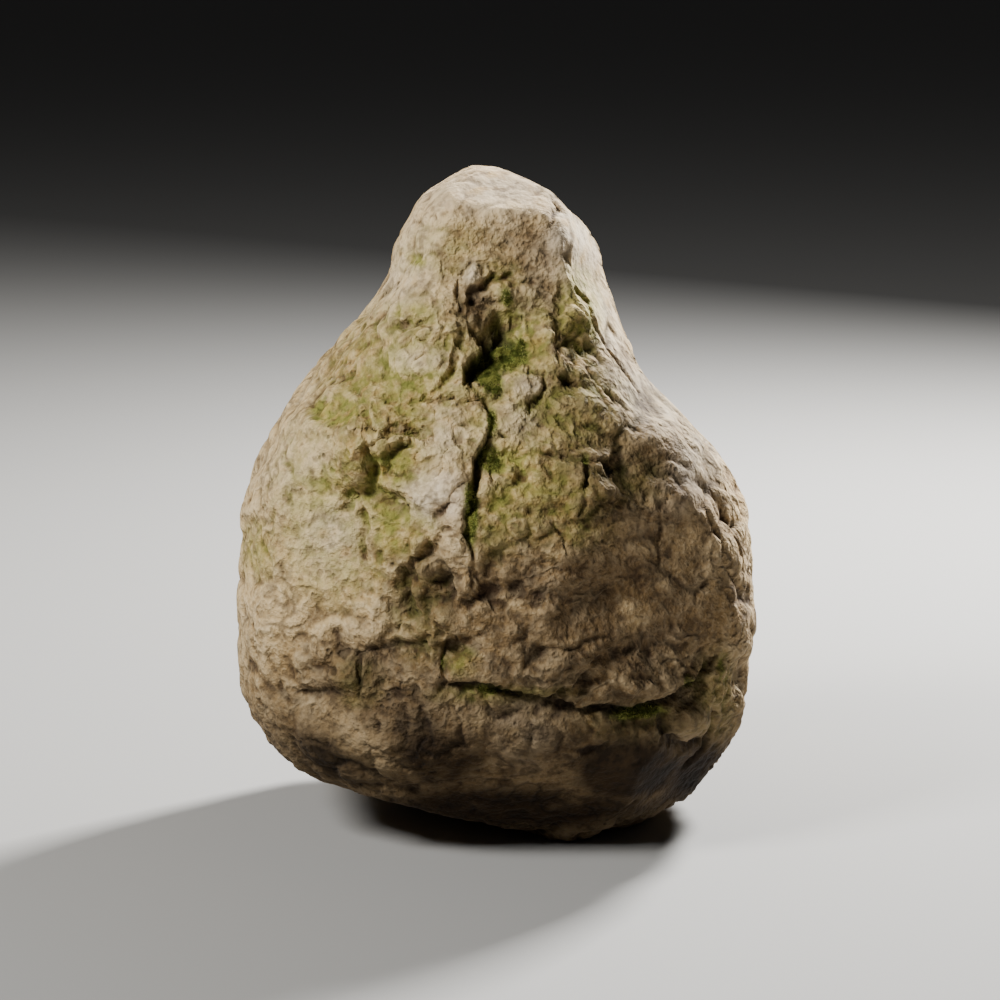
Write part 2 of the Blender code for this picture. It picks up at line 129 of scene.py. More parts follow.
# Lumps: size across, height, and how many finer layers each adds. Folds meet in sharp creases instead.
LUMPS = ((120, 4.5, 2), (44, 3.8, 2))
FOLDS = ((58, 3.4, 1), (28, 2.4, 2))
FOLD_CREST = 0.35
ROUTE_WOBBLE = ((15, 2.2), (6, 1.3))  # size and sway of the bends that a crack makes on its way
RAGGEDNESS = (8, 0.5)  # size of the bites in a crack's lips, and their share of its width
NARROWEST = 0.22  # the share of its width that a crack keeps where it dies out
STEEP, GENTLE = 0.5, 1.3  # how a crack's narrow wall drops and how its wide wall slopes

# The viewer looks down at the stone, and marks lie where they are seen against a plane through the origin.
SIGHT_TILT = 11
SIGHT_CENTRE = (3, 234)
SIGHT_DISTANCE = 2200

# Cracks: the widths to the left and right of someone walking the route, then the route as across, up
# and depth. A crack is that wide where it is deepest and narrows as it shallows.
FRONT_CRACKS = {
    "cleft": (13, 4, (
        (14, 372, 2), (7, 366, 8), (-4, 363, 18), (-9, 352, 25), (-15, 340, 25), (-23, 325, 14),
        (-19, 315, 7), (-11, 307, 5), (-5, 300, 5), (-4, 290, 5), (-6, 279, 9), (-10, 271, 16),
        (-16, 262, 17), (-17, 252, 13), (-19, 236, 10), (-23, 220, 10), (-23, 205, 8), (-20, 196, 5),
        (-18, 187, 3), (-19, 172, 2), (-27, 150, 0),
    )),
    "pocket": (30, 4, (
        (22, 370, 0), (14, 369, 8), (4, 369, 14), (-2, 362, 18), (-10, 357, 20), (-13, 347, 20),
        (-19, 338, 18), (-23, 326, 11), (-26, 316, 0),
    )),
    "cave": (4, 9, (
        (-24, 386, 0), (-19, 391, 4), (-11, 393, 6), (-4, 398, 5), (4, 398, 5), (10, 401, 4),
        (14, 395, 3), (12, 386, 0),
    )),
    "cave_step": (3, 9, ((-26, 377, 0), (-18, 383, 4), (-8, 385, 5), (2, 382, 4), (4, 372, 0))),
    "egg_edge": (3, 4, ((-27, 394, 0), (-27, 403, 3), (-21, 410, 3), (-13, 409, 3), (-11, 402, 0))),
    "block_edge": (9, 3, (
        (-26, 372, 0), (-22, 362, 4), (-14, 358, 5), (-4, 363, 5), (6, 370, 4), (13, 374, 0),
    )),
    "side_crack": (5, 4, (
        (-31, 408, 0), (-29, 393, 3), (-28, 382, 3), (-29, 358, 4), (-31, 346, 4), (-32, 331, 6),
        (-43, 317, 5), (-54, 311, 3), (-60, 305, 0),
    )),
    "seam": (3, 10, (
        (-41, 97, 4), (-32, 94, 11), (-17, 94, 11), (1, 90, 12), (18, 84, 11), (37, 80, 10),
        (53, 76, 9), (69, 74, 10), (82, 76, 12), (104, 75, 13), (125, 82, 11), (141, 89, 8),
        (151, 95, 8), (158, 103, 7), (164, 111, 6), (174, 122, 0),
    )),
    "knob_gap": (5, 5, (
        (-24, 123, 0), (-34, 123, 7), (-41, 119, 9), (-41, 110, 4), (-39, 101, 5), (-41, 92, 7),
        (-43, 86, 0),
    )),
    "fold": (3, 8, ((10, 114, 0), (22, 117, 3), (38, 120, 3), (57, 122, 3), (73, 129, 3), (90, 131, 0))),
    "scale_edge": (3, 7, ((26, 82, 0), (38, 82, 5), (54, 89, 6), (66, 101, 6), (71, 116, 0))),
    "seam_tooth": (4, 4, ((143, 116, 0), (142, 108, 4), (145, 98, 6))),
    "seam_tooth_right": (4, 4, ((157, 118, 0), (160, 111, 4), (162, 104, 5))),
    "left_ledge": (12, 4, (
        (-93, 288, 0), (-95, 283, 3), (-96, 272, 5), (-95, 262, 6), (-97, 252, 7), (-101, 244, 7),
        (-110, 245, 6), (-114, 237, 5), (-119, 229, 0),
    )),
    "ledge_line": (3, 3, (
        (-110, 323, 0), (-104, 313, 3), (-99, 304, 4), (-96, 292, 4), (-90, 276, 4), (-89, 262, 4),
        (-90, 252, 0),
    )),
    "shelf": (3, 6, ((-68, 304, 0), (-60, 309, 4), (-46, 307, 4), (-33, 308, 7), (-30, 304, 0))),
    "curved_edge": (8, 3, ((-108, 246, 0), (-108, 238, 5), (-114, 228, 6), (-123, 222, 0))),
    "plate_notch": (3, 5, ((-46, 213, 0), (-40, 211, 5), (-32, 209, 5), (-28, 204, 0))),
    "crescent": (3, 13, ((-86, 257, 5), (-82, 267, 8), (-72, 273, 9), (-63, 274, 7), (-54, 271, 0))),
    "crescent_high": (3, 5, ((-88, 274, 0), (-78, 281, 4), (-64, 283, 4), (-52, 278, 0))),
    "left_line": (5, 7, (
        (-106, 230, 0), (-101, 222, 4), (-100, 213, 4), (-103, 203, 5), (-101, 193, 4), (-103, 178, 0),
    )),
    "nub_edge": (3, 5, ((-50, 210, 0), (-52, 198, 6), (-57, 190, 6), (-66, 187, 0))),
    "scarp": (13, 4, (
        (-33, 209, 1), (-44, 203, 4), (-52, 193, 5), (-64, 188, 6), (-70, 177, 7), (-72, 166, 4),
        (-71, 152, 6), (-74, 141, 5), (-84, 131, 5), (-92, 125, 5), (-102, 118, 1),
    )),
    "scarp_bowl": (4, 10, ((-52, 168, 0), (-46, 172, 7), (-38, 172, 8), (-34, 163, 7), (-37, 154, 0))),
    "block_top": (3, 8, ((-99, 120, 4), (-87, 124, 8), (-72, 126, 8), (-57, 125, 5), (-48, 119, 0))),
    "low_notch": (4, 7, (
        (-110, 122, 0), (-104, 117, 8), (-102, 106, 9), (-103, 96, 9), (-105, 86, 4), (-106, 80, 0),
    )),
    "low_stem": (3, 4, ((-90, 72, 0), (-89, 64, 5), (-90, 55, 0))),
    "ear_edge": (4, 7, ((-158, 86, 0), (-148, 90, 4), (-136, 88, 5), (-126, 92, 4), (-118, 88, 0))),
    "boss_rim": (5, 8, (
        (123, 79, 6), (124, 64, 8), (130, 54, 8), (138, 47, 7), (154, 50, 6), (163, 65, 7),
        (165, 79, 6), (168, 92, 0),
    )),
    "foot_spine": (4, 5, ((163, 64, 5), (155, 46, 7), (143, 35, 6), (136, 27, 0))),
    "right_stem": (3, 4, ((65, 266, 4), (67, 257, 6), (66, 248, 4), (65, 234, 3), (63, 223, 4), (59, 216, 3))),
    "right_lip": (3, 8, ((46, 219, 0), (54, 215, 5), (65, 216, 6), (71, 223, 4), (82, 235, 0))),
    "right_long": (3, 6, (
        (121, 252, 0), (122, 230, 2), (123, 216, 2), (121, 198, 2), (123, 180, 2), (129, 176, 3),
        (142, 166, 3), (149, 164, 3), (158, 171, 2), (163, 175, 0),
    )),
    "cheek_line": (3, 7, (
        (146, 248, 0), (154, 240, 2), (155, 227, 2), (163, 212, 3), (168, 200, 3), (168, 193, 0),
    )),
    "cheek_fork": (3, 4, ((168, 200, 2), (174, 213, 2), (178, 230, 0))),
    "cross_crack": (3, 8, (
        (-4, 272, 7), (6, 269, 4), (15, 264, 5), (29, 270, 4), (44, 266, 5), (65, 262, 5), (76, 265, 4),
        (89, 260, 4), (106, 262, 0),
    )),
    "cross_lip": (3, 5, ((-4, 280, 7), (4, 281, 5), (13, 282, 0))),
    "block_line": (3, 5, (
        (10, 331, 3), (24, 331, 5), (33, 329, 6), (37, 318, 6), (33, 309, 7), (26, 305, 6),
        (22, 294, 0),
    )),
    "left_neck": (4, 9, ((-86, 361, 0), (-76, 362, 4), (-64, 365, 5), (-50, 365, 4), (-37, 367, 0))),
    "neck_arch": (4, 6, (
        (54, 386, 0), (60, 390, 4), (67, 382, 4), (70, 369, 3), (83, 349, 2), (94, 331, 3),
        (106, 315, 2), (112, 300, 0),
    )),
    "neck_line": (4, 6, ((76, 317, 0), (88, 310, 4), (99, 301, 3), (108, 294, 0))),
    "throat_groove": (5, 5, ((46, 402, 0), (47, 385, 4), (46, 360, 4), (47, 342, 4), (47, 333, 0))),
    "throat_hole": (4, 5, ((47, 325, 3), (53, 322, 7), (62, 320, 3), (72, 318, 0))),
}
# The back's cracks, as someone standing behind the stone sees them.
BACK_CRACKS = {
    "back_cleft": (8, 5, (
        (30, 372, 0), (22, 345, 7), (26, 318, 10), (12, 288, 11), (16, 262, 8), (4, 236, 9),
        (8, 210, 7), (0, 188, 7), (7, 166, 6), (-5, 142, 7), (3, 120, 6), (-8, 98, 4),
    )),
    "back_seam": (5, 13, (
        (-160, 118, 0), (-132, 104, 8), (-98, 108, 9), (-66, 96, 7), (-30, 99, 8), (4, 88, 8),
        (34, 94, 7), (62, 84, 6), (92, 97, 7), (122, 90, 6), (150, 104, 0),
    )),
    "back_branch": (5, 10, ((60, 190, 0), (84, 178, 7), (104, 184, 8), (128, 170, 6), (146, 174, 0))),
    "back_step": (14, 5, ((-70, 262, 0), (-86, 240, 7), (-84, 214, 8), (-98, 192, 6), (-104, 170, 0))),
}

# Hollows and, with a negative depth, swellings: across, up, half width, half height, turn and depth.
FRONT_HOLLOWS = {
    "moss_bed": (12, 352, 29, 25, -10, 9),
    "moss_bed_low": (-5, 328, 16, 28, 20, 8),
    "small_bed": (-2, 263, 13, 13, 0, 7),
    "cave_floor": (-10, 383, 16, 14, 0, 4),
    "cave_brow": (-10, 416, 24, 9, 0, -3),
    "cave_egg": (-19, 402, 8, 10, 0, -4),
    "left_patch": (-121, 298, 24, 14, -12, 4),
    "left_bowl": (-82, 246, 22, 24, 0, 4),
    "scarp_bay": (-66, 148, 20, 34, 0, 5),
    "knob": (-25, 108, 12, 11, 0, -5),
    "knob_hole": (-34, 120, 10, 6, 0, 7),
    "overhang": (92, 98, 62, 19, 4, -5),
    "overhang_left": (8, 112, 40, 16, 0, -3),
    "seam_bed": (106, 64, 22, 8, 0, 5),
    "boss": (146, 66, 17, 16, 0, -7),
    "dimple": (-60, 414, 9, 5, -35, 2),
    "right_bay": (78, 158, 40, 22, 8, 3),
    "shoulder_knuckle": (176, 192, 26, 30, 0, -4),
    "lip_left": (-38, 268, 16, 34, 8, -3),
    "lip_high": (-34, 352, 9, 26, -14, -3),
    "ledge_lump": (-106, 254, 13, 17, -10, -7),
    "pale_plate": (-46, 240, 27, 17, 0, -3),
    "nub": (-59, 199, 7, 10, 0, -6),
    "scarp_knob": (-35, 199, 11, 10, 0, -6),
    "scarp_knuckle": (-52, 180, 13, 9, 30, -6),
    "scarp_toe": (-60, 158, 9, 14, 10, -6),
    "scarp_heel": (-42, 146, 12, 8, -20, -5),
    "scarp_bowl_floor": (-42, 163, 10, 9, 0, 4),
    "scarp_block": (-69, 107, 20, 15, 0, -6),
    "low_brow": (-100, 133, 26, 10, -20, -6),
    "ear": (-131, 127, 12, 18, 0, -6),
    "ear_hole": (-114, 118, 10, 9, 0, 6),
    "low_cheek": (-132, 97, 22, 9, 0, -4),
}
BACK_HOLLOWS = {
    "back_bed": (24, 300, 22, 34, 0, 6),
    "back_bay": (-60, 150, 40, 26, 10, 5),
    "back_swell": (80, 222, 44, 40, 0, -5),
    "back_heel_bay": (60, 74, 40, 16, 0, 4),
}

# The fine form has this many cuts along each edge of the block it is shaped from, closest at the front.
BLOCK_CUTS = 127
FRONT_CLOSENESS = 0.3

# Relief too fine for the solid
BENDING = (22, 5)  # size and sway of the bends in the relief
LEDGES = (((64, 64, 34), 0.22, 2.8), ((24, 24, 14), 0.34, 1.0))  # size of a ledge, its tread and its drop
SMOOTHEST = 0.14  # the share of the relief that shows where the stone isn't rough
WORMS = ((12, 0.9), (6.5, 0.5))  # size across and height of the crests that wander over the stone
STRATA = (46, 5, 1.1, 130)  # length and thickness of a layer's edge, height, and how far up they show
FLUTES = (8, 70, 1.2)  # width and length of a flute down the right flank, and depth
DRAPES = (14, 36, 7)  # width, length and depth of the folds in the lip that hangs over the seam
FLUTED = (95, 150)  # how far to the right the flutes begin, and where they are full
PITS = (7.5, 0.8)  # size and depth
WORN_SMOOTHING = 0.7  # the share of the relief that rain has taken off where the stone is most worn
PRESSED_BAND = 6  # depth of the band, inside the box of the solid, that proud relief is pressed into
NEAR, FAR = 6, 40  # rounds of averaging that tell a small hollow and a wide basin

# Where the stone is broken rough: across, up, half width, half height, turn and strength.
FRONT_ROUGH = (
    (-2, 376, 50, 40, 0, 1.2), (-56, 346, 60, 40, 0, 0.8), (-10, 270, 70, 96, 0, 0.8),
    (-88, 258, 50, 66, 0, 1.2), (-58, 156, 56, 76, 0, 1.3), (-102, 98, 66, 36, 0, 0.9),
    (-30, 108, 46, 36, 0, 1.0), (78, 104, 110, 30, 0, 1.5), (152, 96, 50, 40, 0, 1.4),
    (32, 200, 70, 76, 0, 0.7), (72, 252, 50, 50, 0, 0.7), (70, 340, 40, 50, 0, 0.4),
    (140, 60, 50, 40, 0, 0.7),
)
# Where rain has worn the stone smooth
FRONT_WORN = (
    (0, 468, 90, 28, 0, 1.2), (66, 428, 30, 62, 10, 1.2), (84, 374, 22, 56, 24, 1.2),
    (122, 312, 58, 30, -36, 1.1), (160, 262, 26, 60, -30, 0.9), (-46, 240, 30, 18, 0, 0.6),
    (-60, 420, 34, 50, -20, 0.5), (-120, 40, 70, 30, -24, 0.6), (110, 34, 76, 40, 16, 0.8),
)
FRONT_DRAPES = (
    (92, 98, 74, 24, 6, 1.3), (154, 112, 30, 26, 40, 1.2), (20, 112, 34, 16, 0, 0.7),
    (-64, 150, 42, 60, 12, 0.9), (-98, 112, 44, 28, -10, 0.8), (-94, 264, 18, 46, 0, 0.9),
    (-38, 346, 22, 52, -8, 0.6), (84, 236, 30, 30, 0, 0.5),
)
# Nodules along the lips and in the scarp: across, up, half width, half height, turn and height.
FRONT_NODULES = (
    (36, 93, 8, 10, 0, 4), (56, 89, 8, 10, 10, 4), (76, 88, 9, 9, 0, 4), (95, 89, 8, 10, -10, 5),
    (112, 91, 8, 9, 20, 4), (128, 97, 8, 9, 30, 4), (142, 106, 6, 8, 20, 3), (18, 100, 9, 8, 0, 3),
    (-2, 105, 8, 8, 0, 3), (66, 110, 10, 8, 0, 3), (100, 108, 9, 8, 10, 3), (-26, 382, 5, 6, 0, 3),
    (-15, 379, 6, 5, 0, 3), (-20, 367, 7, 4, 30, 4), (-7, 372, 5, 5, 0, 3), (-84, 286, 8, 5, 10, 3),
    (-72, 292, 8, 4, 0, 2.5), (-114, 268, 8, 9, 20, 3), (-120, 248, 8, 8, 0, 3),
    (-82, 196, 8, 11, 0, 3), (-86, 168, 9, 8, 0, 3), (-60, 134, 8, 7, 0, 4), (-46, 124, 9, 6, 0, 3),
    (-148, 112, 8, 9, 0, 3), (-122, 142, 9, 6, 30, 3), (84, 240, 9, 8, 0, 3), (100, 226, 8, 9, 0, 2.5),
    (30, 250, 9, 7, 0, 3), (20, 230, 7, 9, 0, 2.5), (46, 190, 12, 8, 0, 3), (76, 186, 9, 10, 0, 3),
    (8, 180, 9, 8, 0, 3), (40, 150, 12, 8, 20, 3), (100, 150, 10, 8, 0, 3), (-12, 150, 8, 9, 0, 3),
    (14, 136, 9, 7, 0, 3), (136, 130, 9, 8, 0, 3),
)
BACK_ROUGH = (
    (20, 290, 60, 90, 0, 1.0), (-60, 110, 110, 40, 0, 1.2), (100, 180, 70, 50, 0, 0.8),
    (0, 200, 150, 110, 0, 0.5),
)

# Growth, stains and painted light: across, up, half width, half height, turn and strength. The pale marks are
# partly a painted highlight, the umber marks partly painted shade, and the dark marks at the foot are painted
# shade.
FRONT_MOSS = (
    (7, 348, 23, 22, -10, 1.0), (-7, 328, 14, 28, 20, 1.0), (6, 384, 8, 13, 10, 0.7),
    (-6, 264, 12, 16, 0, 1.0), (-4, 292, 6, 17, 0, 0.8), (-20, 222, 7, 34, 0, 1.0),
    (108, 72, 30, 7, 6, 0.8), (-6, 88, 26, 5, -4, 0.6), (146, 95, 7, 7, 40, 0.55),
    (-84, 264, 10, 6, 20, 0.5), (67, 263, 4, 7, 0, 0.7), (-41, 110, 5, 12, 0, 0.5),
    (172, 106, 6, 20, 0, 0.5),
)
BACK_MOSS = (
    (22, 318, 12, 44, 0, 1.0), (10, 262, 8, 20, 0, 0.8), (4, 220, 6, 24, 0, 0.6),
    (-118, 104, 24, 6, 10, 0.5), (-2, 130, 7, 50, 0, 0.6),
)
FRONT_FILM = (
    (-121, 299, 28, 18, -12, 1.8), (-80, 254, 36, 30, 0, 1.2), (-76, 222, 36, 40, 0, 1.2),
    (-64, 373, 28, 12, -6, 0.8), (-42, 338, 20, 12, 0, 0.7), (12, 262, 30, 30, 0, 0.9),
    (2, 226, 34, 46, 0, 0.7), (16, 350, 42, 46, 0, 0.9), (62, 372, 24, 50, 0, 0.9),
    (60, 214, 34, 24, 0, 0.6), (-25, 110, 14, 14, 0, 1.0), (50, 300, 60, 60, 0, 0.7),
    (-62, 413, 13, 6, -35, 1.0), (-180, 196, 24, 30, 0, 0.6), (2, 86, 70, 9, 0, 0.8),
    (-116, 232, 70, 90, 0, 0.75), (-70, 320, 80, 80, 20, 0.8), (40, 236, 60, 50, 0, 0.7),
    (96, 250, 40, 26, 0, 0.5), (-104, 340, 40, 40, 30, 0.45), (-60, 150, 30, 50, 0, 0.5),
    (4, 400, 20, 20, 0, 0.6), (108, 66, 60, 20, 0, 0.5), (166, 80, 24, 50, 0, 0.5),
    (-104, 96, 24, 24, 0, 0.6), (-40, 420, 50, 30, 0, 0.35), (-20, 300, 50, 60, 0, 0.45),
)
# Where the film has worn off again
FRONT_BARE = (
    (-50, 234, 42, 28, 0, 0.9), (25, 319, 18, 15, 0, 0.8), (-124, 208, 34, 30, 0, 0.6),
    (-20, 404, 12, 14, 0, 0.7), (-38, 286, 24, 30, 0, 0.6), (14, 290, 20, 16, 0, 0.5),
    (-130, 268, 26, 18, 0, 0.6), (-60, 338, 30, 12, 0, 0.5),
)
BACK_FILM = (
    (24, 318, 44, 70, 0, 0.9), (10, 230, 60, 80, 0, 0.7), (-60, 108, 150, 44, 4, 0.65),
    (96, 210, 90, 80, 8, 0.6), (-96, 240, 80, 100, 0, 0.7), (-10, 390, 60, 50, 0, 0.55),
    (60, 130, 80, 60, 0, 0.6),
)
# Pale bleached plates; on the crown, the right neck and the right shoulder partly a painted highlight where
# the rim light falls.
FRONT_PALE_AND_HIGHLIGHT = (
    (-50, 234, 40, 28, 0, 1.1), (-124, 208, 40, 44, 0, 0.7), (-60, 336, 44, 24, 0, 0.7),
    (25, 319, 16, 13, 0, 0.9), (-20, 404, 10, 13, 0, 1.0), (-40, 282, 22, 30, 0, 0.6),
    (0, 466, 90, 30, 0, 0.7), (58, 428, 30, 56, 10, 1.2), (76, 374, 20, 50, 24, 1.2),
    (112, 310, 54, 30, -36, 1.2), (150, 268, 30, 60, -30, 1.1), (20, 292, 18, 20, 0, 0.7),
    (-150, 250, 40, 50, 0, 0.5), (-68, 406, 30, 70, -20, 0.6), (38, 424, 16, 10, 0, 0.4),
    (20, 56, 30, 36, 0, 0.5),
)
BACK_PALE = ((0, 460, 80, 40, 0, 1.0), (70, 286, 46, 40, 0, 0.5), (-126, 276, 40, 50, 0, 0.4))
# Brown stain, and on the right flank and low down partly painted shade, where these faces turn from the key
# light.
FRONT_UMBER_AND_SHADE = (
    (92, 150, 140, 100, 0, 1.2), (24, 160, 70, 74, 0, 1.0), (-50, 150, 44, 60, 10, 0.9),
    (106, 242, 80, 84, -30, 1.2), (28, 404, 40, 50, 0, 0.4), (90, 66, 110, 50, 0, 0.8),
    (-90, 90, 90, 56, 0, 1.1), (70, 300, 60, 70, 0, 0.55), (-18, 376, 22, 18, 0, 1.0),
    (-150, 60, 60, 50, -30, 0.8), (158, 150, 30, 80, 0, 0.8), (134, 28, 66, 46, 20, 1.1),
)
FRONT_MAUVE = (
    (24, 424, 40, 36, 0, 0.65), (-24, 60, 70, 30, 0, 0.8), (-46, 170, 30, 40, 0, 0.6),
    (10, 108, 44, 20, 0, 0.6), (-70, 110, 40, 30, 0, 0.4), (-16, 376, 20, 26, 0, 0.6),
    (160, 214, 24, 50, -10, 0.6),
)
# Painted shade: dark marks low on the stone and along its foot, where the shade falls.
FRONT_FOOT_SHADE = (
    (-46, 40, 48, 34, -12, 1.25), (98, 28, 62, 34, 4, 1.5), (-118, 34, 64, 28, -24, 0.9),
    (10, 0, 160, 28, 0, 1.3), (152, 28, 46, 30, 30, 1.2), (60, 60, 150, 60, 0, 0.35),
)
DAMP_AND_SHADE_HEIGHTS = (30, 215)  # heights between which the darkening of the foot, partly a damp stain and partly painted shade, fades out
BACK_FOOT_SHADE = ((0, 30, 140, 34, 0, 1.2), (-120, 60, 56, 34, 20, 0.9), (90, 52, 60, 38, 0, 0.9))
BACK_UMBER = (
    (40, 140, 150, 90, 0, 1.1), (-100, 190, 80, 110, 0, 0.9), (20, 320, 80, 90, 0, 0.8),
    (40, 60, 160, 60, 0, 1.0), (86, 240, 60, 60, 0, 0.8),
)

# Colours
LIMESTONE = "#AC8D5E"
LIMESTONE_PALE = "#C8AB7B"
LIMESTONE_WORN = "#DEC79C"
# Bleached stone, and the painted highlight on the crown, right neck and shoulder
BLEACHED_AND_HIGHLIGHT = "#DCCAAE"
OCHRE = "#8A6C42"
# Brown for random blotches, and the painted shade of hollows, basins, creases and the grain's low spots
UMBER_AND_SHADE = "#463320"
# Tints the umber marks and the darker foot: brown stain and partly painted shade
UMBER_AND_SHADE_TINT = "#9C9795"
MAUVE_TINT = "#A39C9C"
# The tint of the painted shade at the foot
FOOT_SHADE_TINT = "#665C4B"
# Painted shade in the cracks and pores
CREVICE_SHADE = "#2B2217"
FILM_TINT = "#DDE09C"
FILM_GREEN = "#81803A"
FILM_DEEP = "#53581F"
# Dark green, painted as the shade on moss deep in the cracks
MOSS_SHADE_GREEN = "#20270D"
MOSS_GREEN = "#535A20"
MOSS_TIP = "#8F8F45"
FLOOR_GREY = "#9D9B97"

# Coats of colour, each over the one before: the mark that a coat follows, the size of its own blotches,
# where in their range it starts and is full, its strength, whether it covers or tints, and its colour.
STONE_COATS = (
    (None, 85, 0.36, 0.64, 1.0, "MIX", LIMESTONE_PALE),
    (None, 22, 0.50, 0.70, 0.50, "MIX", OCHRE),
    (None, 4.5, 0.54, 0.72, 0.45, "MIX", UMBER_AND_SHADE),
    (None, 3.2, 0.52, 0.70, 0.45, "MIX", LIMESTONE_WORN),
    # pale plates, partly a painted highlight
    ("pale", 16, 0.25, 0.55, 0.9, "MIX", BLEACHED_AND_HIGHLIGHT),
    ("crest", 6, 0.30, 0.60, 0.40, "MIX", LIMESTONE_WORN),
    # painted shade: small hollows and wide basins darkened to brown
    ("hollow", 8, 0.20, 0.50, 0.70, "MIX", UMBER_AND_SHADE),
    ("basin", 12, 0.15, 0.50, 0.75, "MIX", UMBER_AND_SHADE),
)
# Stains, film and moss, with painted shade in the cracks, on deep moss, on the right flank, low down and at
# the foot.
STAINS_AND_SHADE = (
    ("film", 16, 0.20, 0.52, 0.9, "MULTIPLY", FILM_TINT),
    ("film", 11, 0.38, 0.62, 0.8, "MIX", FILM_GREEN),
    ("film", 6, 0.48, 0.66, 0.6, "MIX", FILM_DEEP),
    # brown stain, partly painted shade on the right flank and low down
    ("umber_and_shade", 30, 0.10, 0.50, 1.0, "MULTIPLY", UMBER_AND_SHADE_TINT),
    ("mauve", 14, 0.20, 0.60, 0.9, "MULTIPLY", MAUVE_TINT),
    # darker towards the foot: partly a damp stain, partly painted shade
    ("damp_and_shade", 50, 0.05, 0.50, 0.95, "MULTIPLY", UMBER_AND_SHADE_TINT),
    # painted shade at the foot
    ("foot_shade", 40, 0.10, 0.45, 1.0, "MULTIPLY", FOOT_SHADE_TINT),
    # painted shade in the cracks
    ("crack", 4, 0.10, 0.40, 0.85, "MIX", CREVICE_SHADE),
    ("moss", 6, 0.22, 0.50, 1.0, "MIX", MOSS_GREEN),
    ("moss", 4, 0.48, 0.64, 0.8, "MIX", MOSS_TIP),
    # painted shade on the moss deep in the cracks
    ("shade", 6, 0.10, 0.40, 0.9, "MIX", MOSS_SHADE_GREEN),
)

# Relief too fine for the mesh. Grain: size and height. Lines that wander between plates: the size of the
# plates, how wide and how strong the line is, its colour, and its height, or its depth where negative.
GRAIN = ((11, 0.9), (4.5, 0.45), (1.8, 0.14))
# Painted shade: the low spots of the grain are darkened brown; its high spots take the worn colour.
SHADED_GRAIN_LOWS, BARE = (0.68, 0.36, 0.5, UMBER_AND_SHADE), (0.82, 1.15, 0.3, LIMESTONE_WORN)
LINES = (
    (14, 0.13, 0.42, LIMESTONE_WORN, 0.55), (8, 0.14, 0.14, LIMESTONE_WORN, 0.15),
    # The brown lines sink into creases and darken them as painted shade.
    (21, 0.08, 0.50, UMBER_AND_SHADE, -0.5), (10, 0.09, 0.18, UMBER_AND_SHADE, -0.12),
)

SWIRL = (30, 7)  # size and sway of the bends in the creases
PORE_SIZE = 6.5
BUMP = 2.1

# Moss shoots
SHOOT_COUNT = 5500
SHOOT_LENGTH = (0.8, 2.0)
SHOOT_WIDTH = 0.36
SHOOT_ROOT = 0.35  # how far up from its middle a shoot is moved, so that a little of it stays in the stone
SHOOT_LEAN = 0.35
SHOOT_RISE = 0.25
SHOOT_SEED = 11

# Studio, in metres and watts: each light's place, size and strength
LIGHTS = {"key": ((-1.76, -1.36, 2.05), 0.8, 122), "rim": ((1.14, 1.36, 1.53), 0.4, 230)}
LIT_POINT = (0, 0, 0.24)
HAZE = (0.30, 0.30, 0.31, 1)
HAZE_STRENGTH = 0.08
VIEW_WIDTH = 750  # millimetres across the picture at the distance of the stone


def smooth_between(x, xs, ys):
    """Cubic interpolation through the points xs, ys."""
    xs, ys = np.asarray(xs, float), np.asarray(ys, float)
    slopes = np.gradient(ys, xs)
    i = np.clip(np.searchsorted(xs, x) - 1, 0, len(xs) - 2)
    span = xs[i + 1] - xs[i]
    t = (x - xs[i]) / span
    start = ys[i] * (1 + 2 * t) * (1 - t) ** 2 + slopes[i] * span * t * (1 - t) ** 2
    end = ys[i + 1] * t**2 * (3 - 2 * t) + slopes[i + 1] * span * t**2 * (t - 1)
    return start + end


def fade(x, low, high):
    """Rises smoothly from 0 at low to 1 at high."""
    t = np.clip((x - low) / (high - low), 0, 1)
    return t * t * (3 - 2 * t)


def facing(azimuth, elevation):
    """Unit vector that points azimuth degrees round from +X and elevation degrees up."""
    a, e = math.radians(azimuth), math.radians(elevation)
    return np.array((math.cos(a) * math.cos(e), math.sin(a) * math.cos(e), math.sin(e)))


def read_points(mesh):
    points = np.empty(len(mesh.vertices) * 3, np.float32)
    mesh.vertices.foreach_get("co", points)
    return points.reshape(-1, 3).astype(float)


def read_normals(mesh):
    normals = np.empty(len(mesh.vertices) * 3, np.float32)
    mesh.vertex_normals.foreach_get("vector", normals)
    return normals.reshape(-1, 3).astype(float)


def write_points(mesh, points):
    mesh.vertices.foreach_set("co", points.astype(np.float32).ravel())
    mesh.update()


def push_out(mesh, heights, outwards=None):
    """Moves each point by its height in metres, along its normal or the direction that is given for it."""
    if outwards is None:
        outwards = read_normals(mesh)
    write_points(mesh, read_points(mesh) + outwards * heights[:, None])


def gridded_ball():
    """A unit ball with a grid of faces, from a subdivided cube, with the grid drawn closer at the front."""
    bm = bmesh.new()
    bmesh.ops.create_cube(bm, size=2)
    bmesh.ops.subdivide_edges(bm, edges=bm.edges[:], cuts=BLOCK_CUTS, use_grid_fill=True)
    for vert in bm.verts:
        ball = Vector([math.tan(c * math.pi / 4) for c in vert.co]).normalized()
        ball.y -= FRONT_CLOSENESS
        vert.co = ball.normalized()
    bmesh.ops.recalc_face_normals(bm, faces=bm.faces)
    mesh = bpy.data.meshes.new("weathered_rock")
    bm.to_mesh(mesh)
    bm.free()
    return mesh


